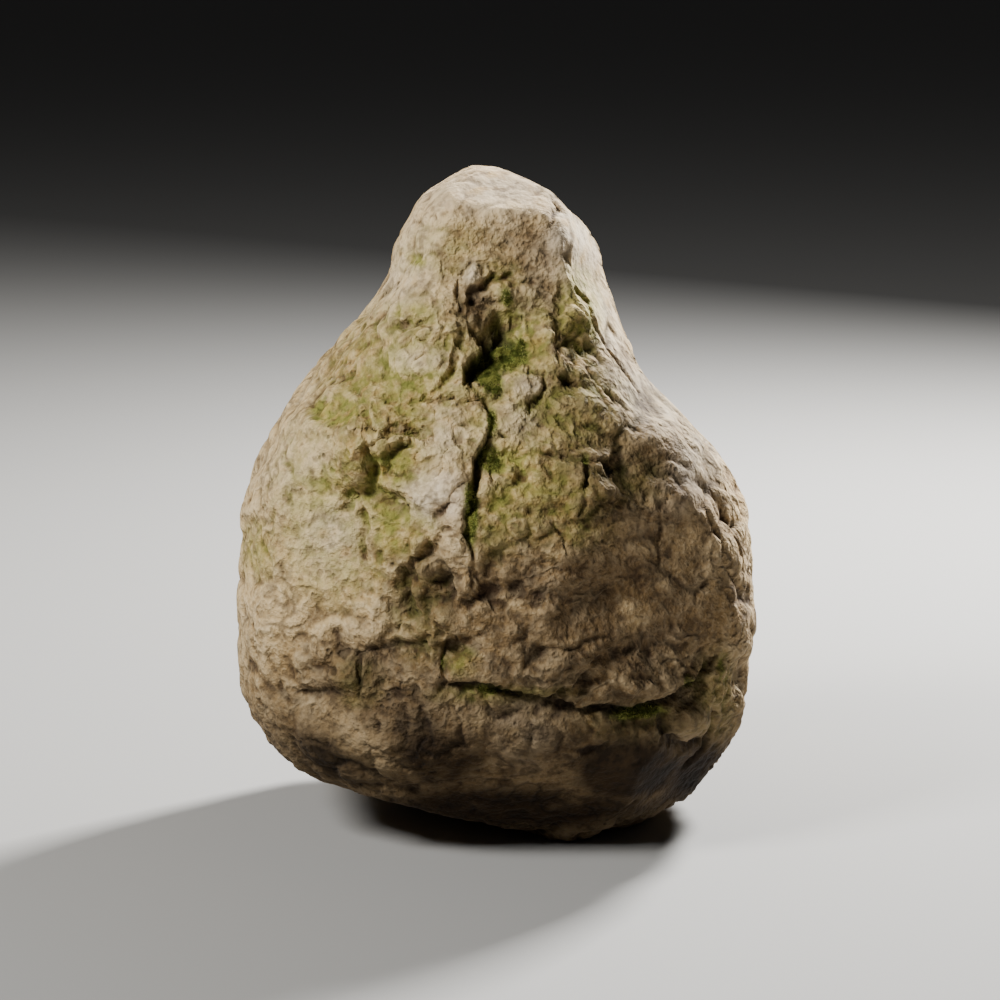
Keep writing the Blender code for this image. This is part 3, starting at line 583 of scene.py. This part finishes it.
def block_out(directions):
    """Carries the ball's points to the boulder's sections."""
    heights, left, right, middle, front, back = np.array(SECTIONS, float).T
    height_of_ball = (CROWN - FOOT) / 2
    section_angles = np.arcsin((heights - FOOT) / height_of_ball - 1)
    angles = np.concatenate(([-math.pi / 2], section_angles, [math.pi / 2]))

    def at(values, first=0.0, last=0.0):
        return smooth_between(latitude, angles, np.concatenate(([first], values, [last])))

    latitude = np.arcsin(np.clip(directions[:, 2], -1, 1))
    around = directions[:, :2] / np.maximum(np.hypot(*directions[:, :2].T), 1e-9)[:, None]
    across = np.where(around[:, 0] > 0, at(right - middle), at(middle - left))
    along = np.where(around[:, 1] > 0, at(back), at(front))
    across, along = np.maximum(across, 1e-3), np.maximum(along, 1e-3)
    reach = ((np.abs(around[:, 0]) / across) ** SQUARENESS + (np.abs(around[:, 1]) / along) ** SQUARENESS)
    reach = reach ** (-1 / SQUARENESS)
    x = around[:, 0] * reach + at(middle, first=middle[0])
    y = around[:, 1] * reach
    z = FOOT + height_of_ball * (1 + directions[:, 2])
    return np.column_stack((x, y, z)) * MM


def break_flats(points):
    """Pushes what stands outside each flat back onto it, with a rounded edge."""
    soft = FLAT_ROUNDING * MM
    for place, azimuth, elevation, reach in FLATS.values():
        normal = facing(azimuth, elevation)
        offset = points - np.array(place) * MM
        outside = offset @ normal
        rounded = np.where(outside < soft, np.maximum(outside + soft, 0) ** 2 / (4 * soft), outside)
        nearness = np.clip((1 - np.linalg.norm(offset, axis=1) / (reach * MM)) / FLAT_FADE, 0, 1)
        points = points - (rounded * nearness**2 * (3 - 2 * nearness))[:, None] * normal
    return points


def noise_at(points, size, layers):
    """Smooth noise from about -1 to 1 whose swells are size millimetres across, or size gives x, y and z."""
    scale = 1 / (np.array(size, float) * MM)
    return np.array([noise.fractal(Vector(p), 1.0, 2.1, layers) for p in points * scale])


def pits_at(points, size):
    """How far each point lies inside a weathering pit, from 0 at a rim to 1 in the middle."""
    scale = 1 / (size * MM)
    nearest = np.array([noise.voronoi(Vector(p))[0][0] for p in points * scale])
    return 1 - fade(nearest, 0.0, 0.42)


def raise_lumps(mesh):
    for size, height, layers in LUMPS:
        push_out(mesh, noise_at(read_points(mesh), size, layers) * height * MM)
    for size, height, layers in FOLDS:
        fold = 1 - np.abs(noise_at(read_points(mesh), size, layers)) / FOLD_CREST
        push_out(mesh, -np.clip(fold, 0, 1) ** 2 * height * MM)


class Sight:
    """Where someone stands to read a table of marks: in front of the stone, or behind it."""

    def __init__(self, tree, behind):
        turn = -1 if behind else 1
        tilt = math.radians(SIGHT_TILT)
        self.tree = tree
        self.across = Vector((turn, 0, 0))
        self.up = Vector((0, turn * math.sin(tilt), math.cos(tilt)))
        self.towards_eye = Vector((0, -turn * math.cos(tilt), math.sin(tilt)))
        self.eye = self.on_plane(*SIGHT_CENTRE) + self.towards_eye * SIGHT_DISTANCE * MM

    def on_plane(self, across, up):
        return (self.across * across + self.up * up) * MM

    def on_stone(self, across, up):
        """The point of the stone's surface that is seen at across, up."""
        way = (self.on_plane(across, up) - self.eye).normalized()
        hit = self.tree.ray_cast(self.eye, way)[0]
        if hit is None:
            raise ValueError(f"nothing of the stone is seen at {across}, {up}")
        return np.array(hit)

    def patch(self, points, normals, across, up, half_width, half_height, turn):
        """1 in the middle of an oval mark, fading to 0 at its edge and where the surface turns away."""
        turned = math.radians(turn)
        offset = points - self.on_stone(across, up)
        u, v = offset @ np.array(self.across), offset @ np.array(self.up)
        along = (u * math.cos(turned) + v * math.sin(turned)) / (half_width * MM)
        upwards = (v * math.cos(turned) - u * math.sin(turned)) / (half_height * MM)
        near_face = np.clip(normals @ np.array(self.towards_eye) * 4, 0, 1)
        return np.clip(1 - along**2 - upwards**2, 0, 1) ** 1.5 * near_face


def crack_depth(points, normals, bites, sight, left_width, right_width, route):
    """How deep one crack cuts at each point, in metres."""
    depths = np.array([depth for _, _, depth in route]) * MM
    path = np.array([sight.on_stone(across, up) for across, up, _ in route])
    nearest = np.full(len(points), np.inf)
    cut = np.zeros(len(points))
    for a, b, depth_a, depth_b in zip(path[:-1], path[1:], depths[:-1], depths[1:]):
        way = b - a
        share = np.clip((points - a) @ way / (way @ way), 0, 1)
        gap = points - (a + share[:, None] * way)
        distance = np.linalg.norm(gap, axis=1)
        depth = depth_a + share * (depth_b - depth_a)
        narrowing = NARROWEST + (1 - NARROWEST) * depth / depths.max()
        on_left = np.einsum("ij,ij->i", np.cross(normals, way), gap) > 0
        width = np.where(on_left, left_width, right_width)
        shape = np.where(width <= min(left_width, right_width), STEEP, GENTLE)
        wall = np.clip(1 - distance / (width * narrowing * bites * MM), 0, 1) ** shape
        closer = distance < nearest
        nearest = np.where(closer, distance, nearest)
        cut = np.where(closer, wall * depth, cut)
    return cut


def carve(mesh, sights):
    """Sinks the hollows, then cuts the cracks into them. Returns how deep the cracks are at each point."""
    points, normals = read_points(mesh), read_normals(mesh)
    for sight, hollows in zip(sights, (FRONT_HOLLOWS, BACK_HOLLOWS)):
        for *oval, depth in hollows.values():
            points -= normals * (sight.patch(points, normals, *oval) * depth * MM)[:, None]
    wobbled = points
    for size, sway in ROUTE_WOBBLE:
        sway_x, sway_z = noise_at(points, size, 1), noise_at(points + 1, size, 1)
        wobbled = wobbled + np.column_stack((sway_x, 0 * sway_x, sway_z)) * sway * MM
    bite_size, bite = RAGGEDNESS
    bites = 1 + bite * noise_at(points, bite_size, 2)
    cut = np.zeros(len(points))
    for sight, cracks in zip(sights, (FRONT_CRACKS, BACK_CRACKS)):
        for crack in cracks.values():
            cut = np.maximum(cut, crack_depth(wobbled, normals, bites, sight, *crack))
    write_points(mesh, points - normals * cut[:, None])
    return cut


def ledges_at(points, size, tread, drop):
    """Flat treads with short steep drops between them, in millimetres."""
    climb = noise_at(points, size, 2) / tread
    step = np.floor(climb)
    return (step + fade(climb - step, 0.36, 0.64)) * drop


def nodules(points, normals, sight):
    """How far each point is raised by the nodules, in millimetres."""
    return sum(sight.patch(points, normals, *oval) * height for *oval, height in FRONT_NODULES)


def weather(mesh, outwards, rough, draped, worn):
    """Breaks the rough parts into ledges, and adds wandering crests, layers, flutes, drapes and pits.

    The relief stands along the normals of the uncut stone, because the walls of a crack would cross otherwise.
    """
    points = read_points(mesh)
    size, sway = BENDING
    bent = points + np.column_stack([noise_at(points + k, size, 1) for k in range(3)]) * sway * MM
    broken = sum(ledges_at(bent, *ledge) for ledge in LEDGES) * (SMOOTHEST + (1 - SMOOTHEST) * rough)
    worms = sum((0.3 - np.abs(noise_at(bent + size, size, 1))) * height for size, height in WORMS)
    length, thickness, step, top = STRATA
    low = 1 - fade(points[:, 2] / MM, 0.55 * top, top)
    strata = noise_at(bent, (length, length, thickness), 2) * step * low
    width, run, depth = FLUTES
    flank = fade(points[:, 0] / MM, *FLUTED)
    flutes = -np.abs(noise_at(bent, (width, width, run), 1)) * depth * flank
    width, run, depth = DRAPES
    drapes = (0.25 - np.abs(noise_at(bent, (width, width, run), 1))) * depth * draped
    pit_size, pit_depth = PITS
    crowd = fade(noise_at(points, 50, 2) + 0.4 * rough, 0.0, 0.5)
    pits = -pits_at(bent, pit_size) * pit_depth * crowd
    relief = broken + worms * (0.2 + 0.6 * rough) + strata + flutes + drapes + pits
    push_out(mesh, relief * (1 - WORN_SMOOTHING * worn) * MM, outwards)


def hollowness(mesh, rounds):
    """How far each point lies below the average of its surroundings, in millimetres."""
    edges = np.empty(len(mesh.edges) * 2, np.int32)
    mesh.edges.foreach_get("vertices", edges)
    here = np.concatenate((edges[0::2], edges[1::2]))
    there = np.concatenate((edges[1::2], edges[0::2]))
    points = read_points(mesh)
    count = np.bincount(here, minlength=len(points))
    around = points
    for _ in range(rounds):
        sums = [np.bincount(here, around[there, axis], len(points)) for axis in range(3)]
        around = np.column_stack([total / count for total in sums])
    return np.einsum("ij,ij->i", around - points, read_normals(mesh)) / MM


def mark(mesh, name, values):
    """Stores a value for each point, which a material reads by its name."""
    attribute = mesh.attributes.new(name, "FLOAT", "POINT")
    attribute.data.foreach_set("value", np.clip(values, 0, 1).astype(np.float32))


def patches(points, normals, sights, tables):
    """The strength at each point of the strongest mark that reaches it."""
    strength = np.zeros(len(points))
    for sight, table in zip(sights, tables):
        for *oval, amount in table:
            strength = np.maximum(strength, sight.patch(points, normals, *oval) * amount)
    return strength


def cut_foot(mesh, cad_box):
    """Cuts the foot off flat at the ground, and centres the stone over its solid."""
    bm = bmesh.new()
    bm.from_mesh(mesh)
    everything = bm.verts[:] + bm.edges[:] + bm.faces[:]
    cut = bmesh.ops.bisect_plane(
        bm, geom=everything, dist=1e-6, plane_co=(0, 0, 0), plane_no=(0, 0, 1), clear_inner=True
    )
    rim = [item for item in cut["geom_cut"] if isinstance(item, bmesh.types.BMEdge)]
    bmesh.ops.contextual_create(bm, geom=rim)
    bmesh.ops.recalc_face_normals(bm, faces=bm.faces)
    low, high = (Vector(corner) for corner in cad_box)
    lowest = Vector([min(v.co[i] for v in bm.verts) for i in range(3)])
    highest = Vector([max(v.co[i] for v in bm.verts) for i in range(3)])
    shift = (low + high - lowest - highest) / 2
    bmesh.ops.translate(bm, verts=bm.verts, vec=(shift.x, shift.y, 0))
    bm.to_mesh(mesh)
    bm.free()


def hold_in(mesh, cad_box):
    """Presses back gently what stands further out to the sides than the solid does."""
    points = read_points(mesh)
    for axis in (0, 1):
        low, high = cad_box[0][axis], cad_box[1][axis]
        middle, free = (low + high) / 2, (high - low) / 2 - PRESSED_BAND * MM
        offset = points[:, axis] - middle
        proud = np.maximum(np.abs(offset) - free, 0) / (PRESSED_BAND * MM)
        held = np.minimum(np.abs(offset), free) + (1 - np.exp(-proud)) * PRESSED_BAND * MM
        points[:, axis] = middle + np.sign(offset) * held
    write_points(mesh, points)


def build_rock(cad_box):
    mesh = gridded_ball()
    write_points(mesh, block_out(read_points(mesh)))
    raise_lumps(mesh)
    write_points(mesh, break_flats(read_points(mesh)))
    tree = BVHTree.FromPolygons(read_points(mesh).tolist(), [p.vertices[:] for p in mesh.polygons])
    sights = (Sight(tree, behind=False), Sight(tree, behind=True))
    points, normals = read_points(mesh), read_normals(mesh)

    def marked(*tables):
        return patches(points, normals, sights, tables)

    cut = carve(mesh, sights)
    worn = np.clip(marked(FRONT_WORN, ()), 0, 1)
    rough = np.clip(marked(FRONT_ROUGH, BACK_ROUGH), 0, 1)
    draped = np.clip(marked(FRONT_DRAPES, ()), 0, 1)
    push_out(mesh, nodules(points, normals, sights[0]) * MM, normals)
    weather(mesh, normals, rough, draped, worn)
    hollow = hollowness(mesh, NEAR)
    moss = marked(FRONT_MOSS, BACK_MOSS)
    # painted shade in the deeper cracks
    mark(mesh, "crack", fade(cut / MM, 4, 10))
    mark(mesh, "worn", worn)
    # painted shade in wide basins and small hollows
    mark(mesh, "basin", fade(hollowness(mesh, FAR), 0.3, 2.6))
    mark(mesh, "hollow", fade(hollow, 0.05, 0.9))
    mark(mesh, "crest", fade(-hollow, 0.05, 0.8))
    mark(mesh, "moss", fade(moss, 0.1, 0.8))
    # painted shade on the moss deep in the cracks
    mark(mesh, "shade", fade(moss, 0.1, 0.6) * fade(cut / MM, 5, 13))
    film = marked(FRONT_FILM, BACK_FILM) * (0.75 + 0.5 * fade(hollow, -0.5, 0.6))
    mark(mesh, "film", film * (1 - marked(FRONT_BARE, ())))
    # pale plates, partly a painted highlight on the crown, right neck and shoulder
    mark(mesh, "pale", marked(FRONT_PALE_AND_HIGHLIGHT, BACK_PALE))
    # brown stain, partly painted shade on the right flank and low down
    mark(mesh, "umber_and_shade", marked(FRONT_UMBER_AND_SHADE, BACK_UMBER))
    mark(mesh, "mauve", marked(FRONT_MAUVE, ()))
    # painted shade low on the stone and at its foot
    mark(mesh, "foot_shade", marked(FRONT_FOOT_SHADE, BACK_FOOT_SHADE))
    # darker towards the foot: partly a damp stain, partly painted shade
    mark(mesh, "damp_and_shade", 1 - fade(points[:, 2] / MM, *DAMP_AND_SHADE_HEIGHTS))
    cut_foot(mesh, cad_box)
    hold_in(mesh, cad_box)
    mesh.shade_smooth()
    return place(mesh, "weathered_rock", limestone())


def build_moss(rock):
    """Short shoots that stand close together wherever the stone is marked as mossy."""
    mesh = rock.data
    points, normals = read_points(mesh), read_normals(mesh)
    moss = np.empty(len(points), np.float32)
    mesh.attributes["moss"].data.foreach_get("value", moss)
    corners = np.array([p.vertices[:4] for p in mesh.polygons if len(p.vertices) == 4])
    middles = points[corners].mean(axis=1)
    growth = fade(moss[corners].mean(axis=1) + 0.35 * noise_at(middles, 9, 2), 0.45, 1.15)
    pick = random.Random(SHOOT_SEED)
    chosen = pick.choices(range(len(corners)), weights=growth.tolist(), k=SHOOT_COUNT)
    shoot = bpy.data.meshes.new("shoot")
    bm = bmesh.new()
    bmesh.ops.create_cone(
        bm, segments=4, radius1=SHOOT_WIDTH * MM, radius2=SHOOT_WIDTH * 0.25 * MM, depth=MM
    )
    bmesh.ops.translate(bm, verts=bm.verts, vec=(0, 0, SHOOT_ROOT * MM))
    bm.to_mesh(shoot)
    bm.clear()
    for face in chosen:
        a, b = pick.random(), pick.random()
        quad = points[corners[face]]
        foot = (quad[0] * (1 - a) + quad[1] * a) * (1 - b) + (quad[3] * (1 - a) + quad[2] * a) * b
        out = Vector(normals[corners[face][0]])
        lean = Vector([pick.gauss(0, SHOOT_LEAN) for _ in range(3)])
        way = (out + lean + Vector((0, 0, SHOOT_RISE))).normalized()
        length = pick.uniform(*SHOOT_LENGTH)
        turn = way.to_track_quat("Z", "Y").to_matrix().to_4x4()
        copy = shoot.copy()
        copy.transform(Matrix.Translation(foot) @ turn @ Matrix.Diagonal((1, 1, length, 1)))
        bm.from_mesh(copy)
        bpy.data.meshes.remove(copy)
    bm.to_mesh(shoot)
    bm.free()
    return place(shoot, "moss_shoots", moss_leaf())


def place(mesh, name, material):
    """Makes the mesh a piece of the object, with its material."""
    piece = bpy.data.objects.new(name, mesh)
    bpy.context.scene.collection.objects.link(piece)
    mesh.materials.clear()
    mesh.materials.append(material)
    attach(piece, "root")
    return piece


def linear(hex_colour):
    """An sRGB hex colour as the linear colour that a shader takes."""
    channels = [int(hex_colour[i : i + 2], 16) / 255 for i in (1, 3, 5)]
    return [c / 12.92 if c <= 0.04045 else ((c + 0.055) / 1.055) ** 2.4 for c in channels] + [1.0]


def add(material, kind, inputs=None, output=0, **settings):
    """Adds a node and gives its output. Each input is a value, a hex colour or another node's output."""
    tree = material.node_tree
    node = tree.nodes.new(kind)
    for name, value in settings.items():
        setattr(node, name, value)
    for socket, value in (inputs or {}).items():
        if isinstance(value, bpy.types.NodeSocket):
            tree.links.new(value, node.inputs[socket])
        elif isinstance(value, str):
            node.inputs[socket].default_value = linear(value)
        else:
            node.inputs[socket].default_value = value
    return node.outputs[output]


def blotches(material, where, size, start, full, strength):
    """Soft blotches that are size millimetres across, from 0 up to strength."""
    cloud = {"Vector": where, "Scale": 1 / (size * MM), "Detail": 2.5, "Roughness": 0.5}
    field = add(material, "ShaderNodeTexNoise", cloud)
    span = {"Value": field, "From Min": start, "From Max": full, "To Max": strength}
    return add(material, "ShaderNodeMapRange", span, interpolation_type="SMOOTHSTEP")


def coated(material, where, colour, coats):
    """The colour with each coat laid over it in turn."""
    for mark_name, size, start, full, strength, blend, coat in coats:
        share = blotches(material, where, size, start, full, strength)
        if mark_name:
            here = add(material, "ShaderNodeAttribute", output="Fac", attribute_name=mark_name)
            share = add(material, "ShaderNodeMath", {0: share, 1: here}, operation="MULTIPLY")
        laid = {0: share, 6: colour, 7: coat}
        colour = add(material, "ShaderNodeMix", laid, 2, data_type="RGBA", blend_type=blend)
    return colour


def limestone():
    """Weathered limestone: pale worn plates between brown creases darkened as painted shade, stains, painted
    shade in cracks, pores, hollows and low down, a painted highlight on some pale plates, and a film of algae
    and moss.
    """
    material = bpy.data.materials.new("weathered_limestone")
    material.use_nodes = True
    stone = add(material, "ShaderNodeTexCoord", output="Object")

    # The creases wander.
    bend_size, bend_sway = SWIRL
    cloud = {"Vector": stone, "Scale": 1 / (bend_size * MM), "Detail": 1.0}
    swirl = add(material, "ShaderNodeTexNoise", cloud, output="Color")
    sway = add(material, "ShaderNodeVectorMath", {0: swirl, 1: (bend_sway * MM,) * 3}, operation="MULTIPLY")
    bent = add(material, "ShaderNodeVectorMath", {0: stone, 1: sway}, operation="ADD")
    beds = add(material, "ShaderNodeVectorMath", {0: bent, 1: (1.0, 1.0, 1.15)}, operation="MULTIPLY")

    relief = 0.0
    for size, height in GRAIN:
        grain = blotches(material, stone, size, 0.25, 0.75, height)
        relief = add(material, "ShaderNodeMath", {0: relief, 1: grain}, operation="ADD")

    colour = add(material, "ShaderNodeRGB")
    colour.default_value = linear(LIMESTONE)
    colour = coated(material, beds, colour, STONE_COATS)
    for low, high, strength, coat in (SHADED_GRAIN_LOWS, BARE):
        span = {"Value": relief, "From Min": low, "From Max": high, "To Max": strength}
        share = add(material, "ShaderNodeMapRange", span)
        colour = add(material, "ShaderNodeMix", {0: share, 6: colour, 7: coat}, 2, data_type="RGBA")
    for size, width, strength, coat, height in LINES:
        cloud = {"Vector": beds, "Scale": 1 / (size * MM), "Detail": 1.0}
        field = add(material, "ShaderNodeTexNoise", cloud)
        side = add(material, "ShaderNodeMath", {0: field, 1: 0.5}, operation="SUBTRACT")
        side = add(material, "ShaderNodeMath", {0: side}, operation="ABSOLUTE")
        span = {"Value": side, "From Min": 0.0, "From Max": width, "To Min": 1.0, "To Max": 0.0}
        line = add(material, "ShaderNodeMapRange", span, interpolation_type="SMOOTHSTEP")
        patchy = blotches(material, stone, size * 2.5, 0.44, 0.60, 1.0)
        line = add(material, "ShaderNodeMath", {0: line, 1: patchy}, operation="MULTIPLY")
        share = add(material, "ShaderNodeMath", {0: line, 1: strength}, operation="MULTIPLY")
        colour = add(material, "ShaderNodeMix", {0: share, 6: colour, 7: coat}, 2, data_type="RGBA")
        step = add(material, "ShaderNodeMath", {0: line, 1: height}, operation="MULTIPLY")
        relief = add(material, "ShaderNodeMath", {0: relief, 1: step}, operation="ADD")

    pores = {"Vector": bent, "Scale": 1 / (PORE_SIZE * MM)}
    cell = add(material, "ShaderNodeTexVoronoi", pores, output="Distance")
    span = {"Value": cell, "From Min": 0.06, "From Max": 0.32, "To Min": 1.0, "To Max": 0.0}
    hole = add(material, "ShaderNodeMapRange", span, interpolation_type="SMOOTHSTEP")
    crowd = blotches(material, stone, 30, 0.52, 0.66, 0.6)
    hole = add(material, "ShaderNodeMath", {0: hole, 1: crowd}, operation="MULTIPLY")
    # Painted shade: the pores are darkened.
    colour = add(material, "ShaderNodeMix", {0: hole, 6: colour, 7: CREVICE_SHADE}, 2, data_type="RGBA")
    relief = add(material, "ShaderNodeMath", {0: relief, 1: hole}, operation="SUBTRACT")
    colour = coated(material, beds, colour, STAINS_AND_SHADE)
    worn = add(material, "ShaderNodeAttribute", output="Fac", attribute_name="worn")
    rough = add(material, "ShaderNodeMath", {0: worn, 1: -0.75, 2: 1.0}, operation="MULTIPLY_ADD")
    relief = add(material, "ShaderNodeMath", {0: relief, 1: rough}, operation="MULTIPLY")
    bump = add(material, "ShaderNodeBump", {"Strength": 1.0, "Distance": BUMP * MM, "Height": relief})

    shader = material.node_tree.nodes["Principled BSDF"]
    material.node_tree.links.new(colour, shader.inputs["Base Color"])
    material.node_tree.links.new(bump, shader.inputs["Normal"])
    shader.inputs["Roughness"].default_value = 0.88
    shader.inputs["IOR"].default_value = 1.5
    shader.inputs["Specular IOR Level"].default_value = 0.2
    return material


def moss_leaf():
    """Cushion moss: soft matt green that turns yellow at the tips of some shoots."""
    material = bpy.data.materials.new("cushion_moss")
    material.use_nodes = True
    shader = material.node_tree.nodes["Principled BSDF"]
    stone = add(material, "ShaderNodeTexCoord", output="Object")
    yellow = blotches(material, stone, 8, 0.40, 0.60, 1.0)
    colour = add(material, "ShaderNodeMix", {0: yellow, 6: MOSS_GREEN, 7: MOSS_TIP}, 2, data_type="RGBA")
    material.node_tree.links.new(colour, shader.inputs["Base Color"])
    shader.inputs["Roughness"].default_value = 0.9
    shader.inputs["Specular IOR Level"].default_value = 0.2
    return material


def studio_floor():
    """A plain pale floor that runs on past the edge of the view."""
    bm = bmesh.new()
    bmesh.ops.create_grid(bm, x_segments=1, y_segments=1, size=40)
    mesh = bpy.data.meshes.new("studio_floor")
    bm.to_mesh(mesh)
    bm.free()
    floor = bpy.data.objects.new("studio_floor", mesh)
    bpy.context.scene.collection.objects.link(floor)
    material = bpy.data.materials.new("matt_studio_floor")
    material.use_nodes = True
    shader = material.node_tree.nodes["Principled BSDF"]
    shader.inputs["Base Color"].default_value = linear(FLOOR_GREY)
    shader.inputs["Roughness"].default_value = 0.9
    mesh.materials.append(material)


def soft_box(name, spot, size, watts):
    data = bpy.data.lights.new(name, "AREA")
    data.size = size
    data.energy = watts
    light = bpy.data.objects.new(name, data)
    light.location = spot
    light.rotation_euler = (Vector(LIT_POINT) - Vector(spot)).to_track_quat("-Z", "Y").to_euler()
    bpy.context.scene.collection.objects.link(light)


def light_and_camera():
    world = bpy.data.worlds.new("studio")
    world.use_nodes = True
    bpy.context.scene.world = world
    world.node_tree.nodes["Background"].inputs["Color"].default_value = HAZE
    world.node_tree.nodes["Background"].inputs["Strength"].default_value = HAZE_STRENGTH
    for name, (spot, size, watts) in LIGHTS.items():
        soft_box(name, spot, size, watts)
    tilt = math.radians(SIGHT_TILT)
    across, up = SIGHT_CENTRE
    target = Vector((across, up * math.sin(tilt), up * math.cos(tilt))) * MM
    data = bpy.data.cameras.new("camera")
    data.lens = data.sensor_width * SIGHT_DISTANCE / VIEW_WIDTH
    data.clip_end = 50
    camera = bpy.data.objects.new("camera", data)
    camera.location = target + Vector((0, -math.cos(tilt), math.sin(tilt))) * SIGHT_DISTANCE * MM
    camera.rotation_euler = (target - camera.location).to_track_quat("-Z", "Y").to_euler()
    bpy.context.scene.collection.objects.link(camera)
    bpy.context.scene.camera = camera


def main():
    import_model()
    cad_box = [list(corner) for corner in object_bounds()]
    rock = build_rock(cad_box)
    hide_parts("rock")
    build_moss(rock)
    studio_floor()
    light_and_camera()


main()
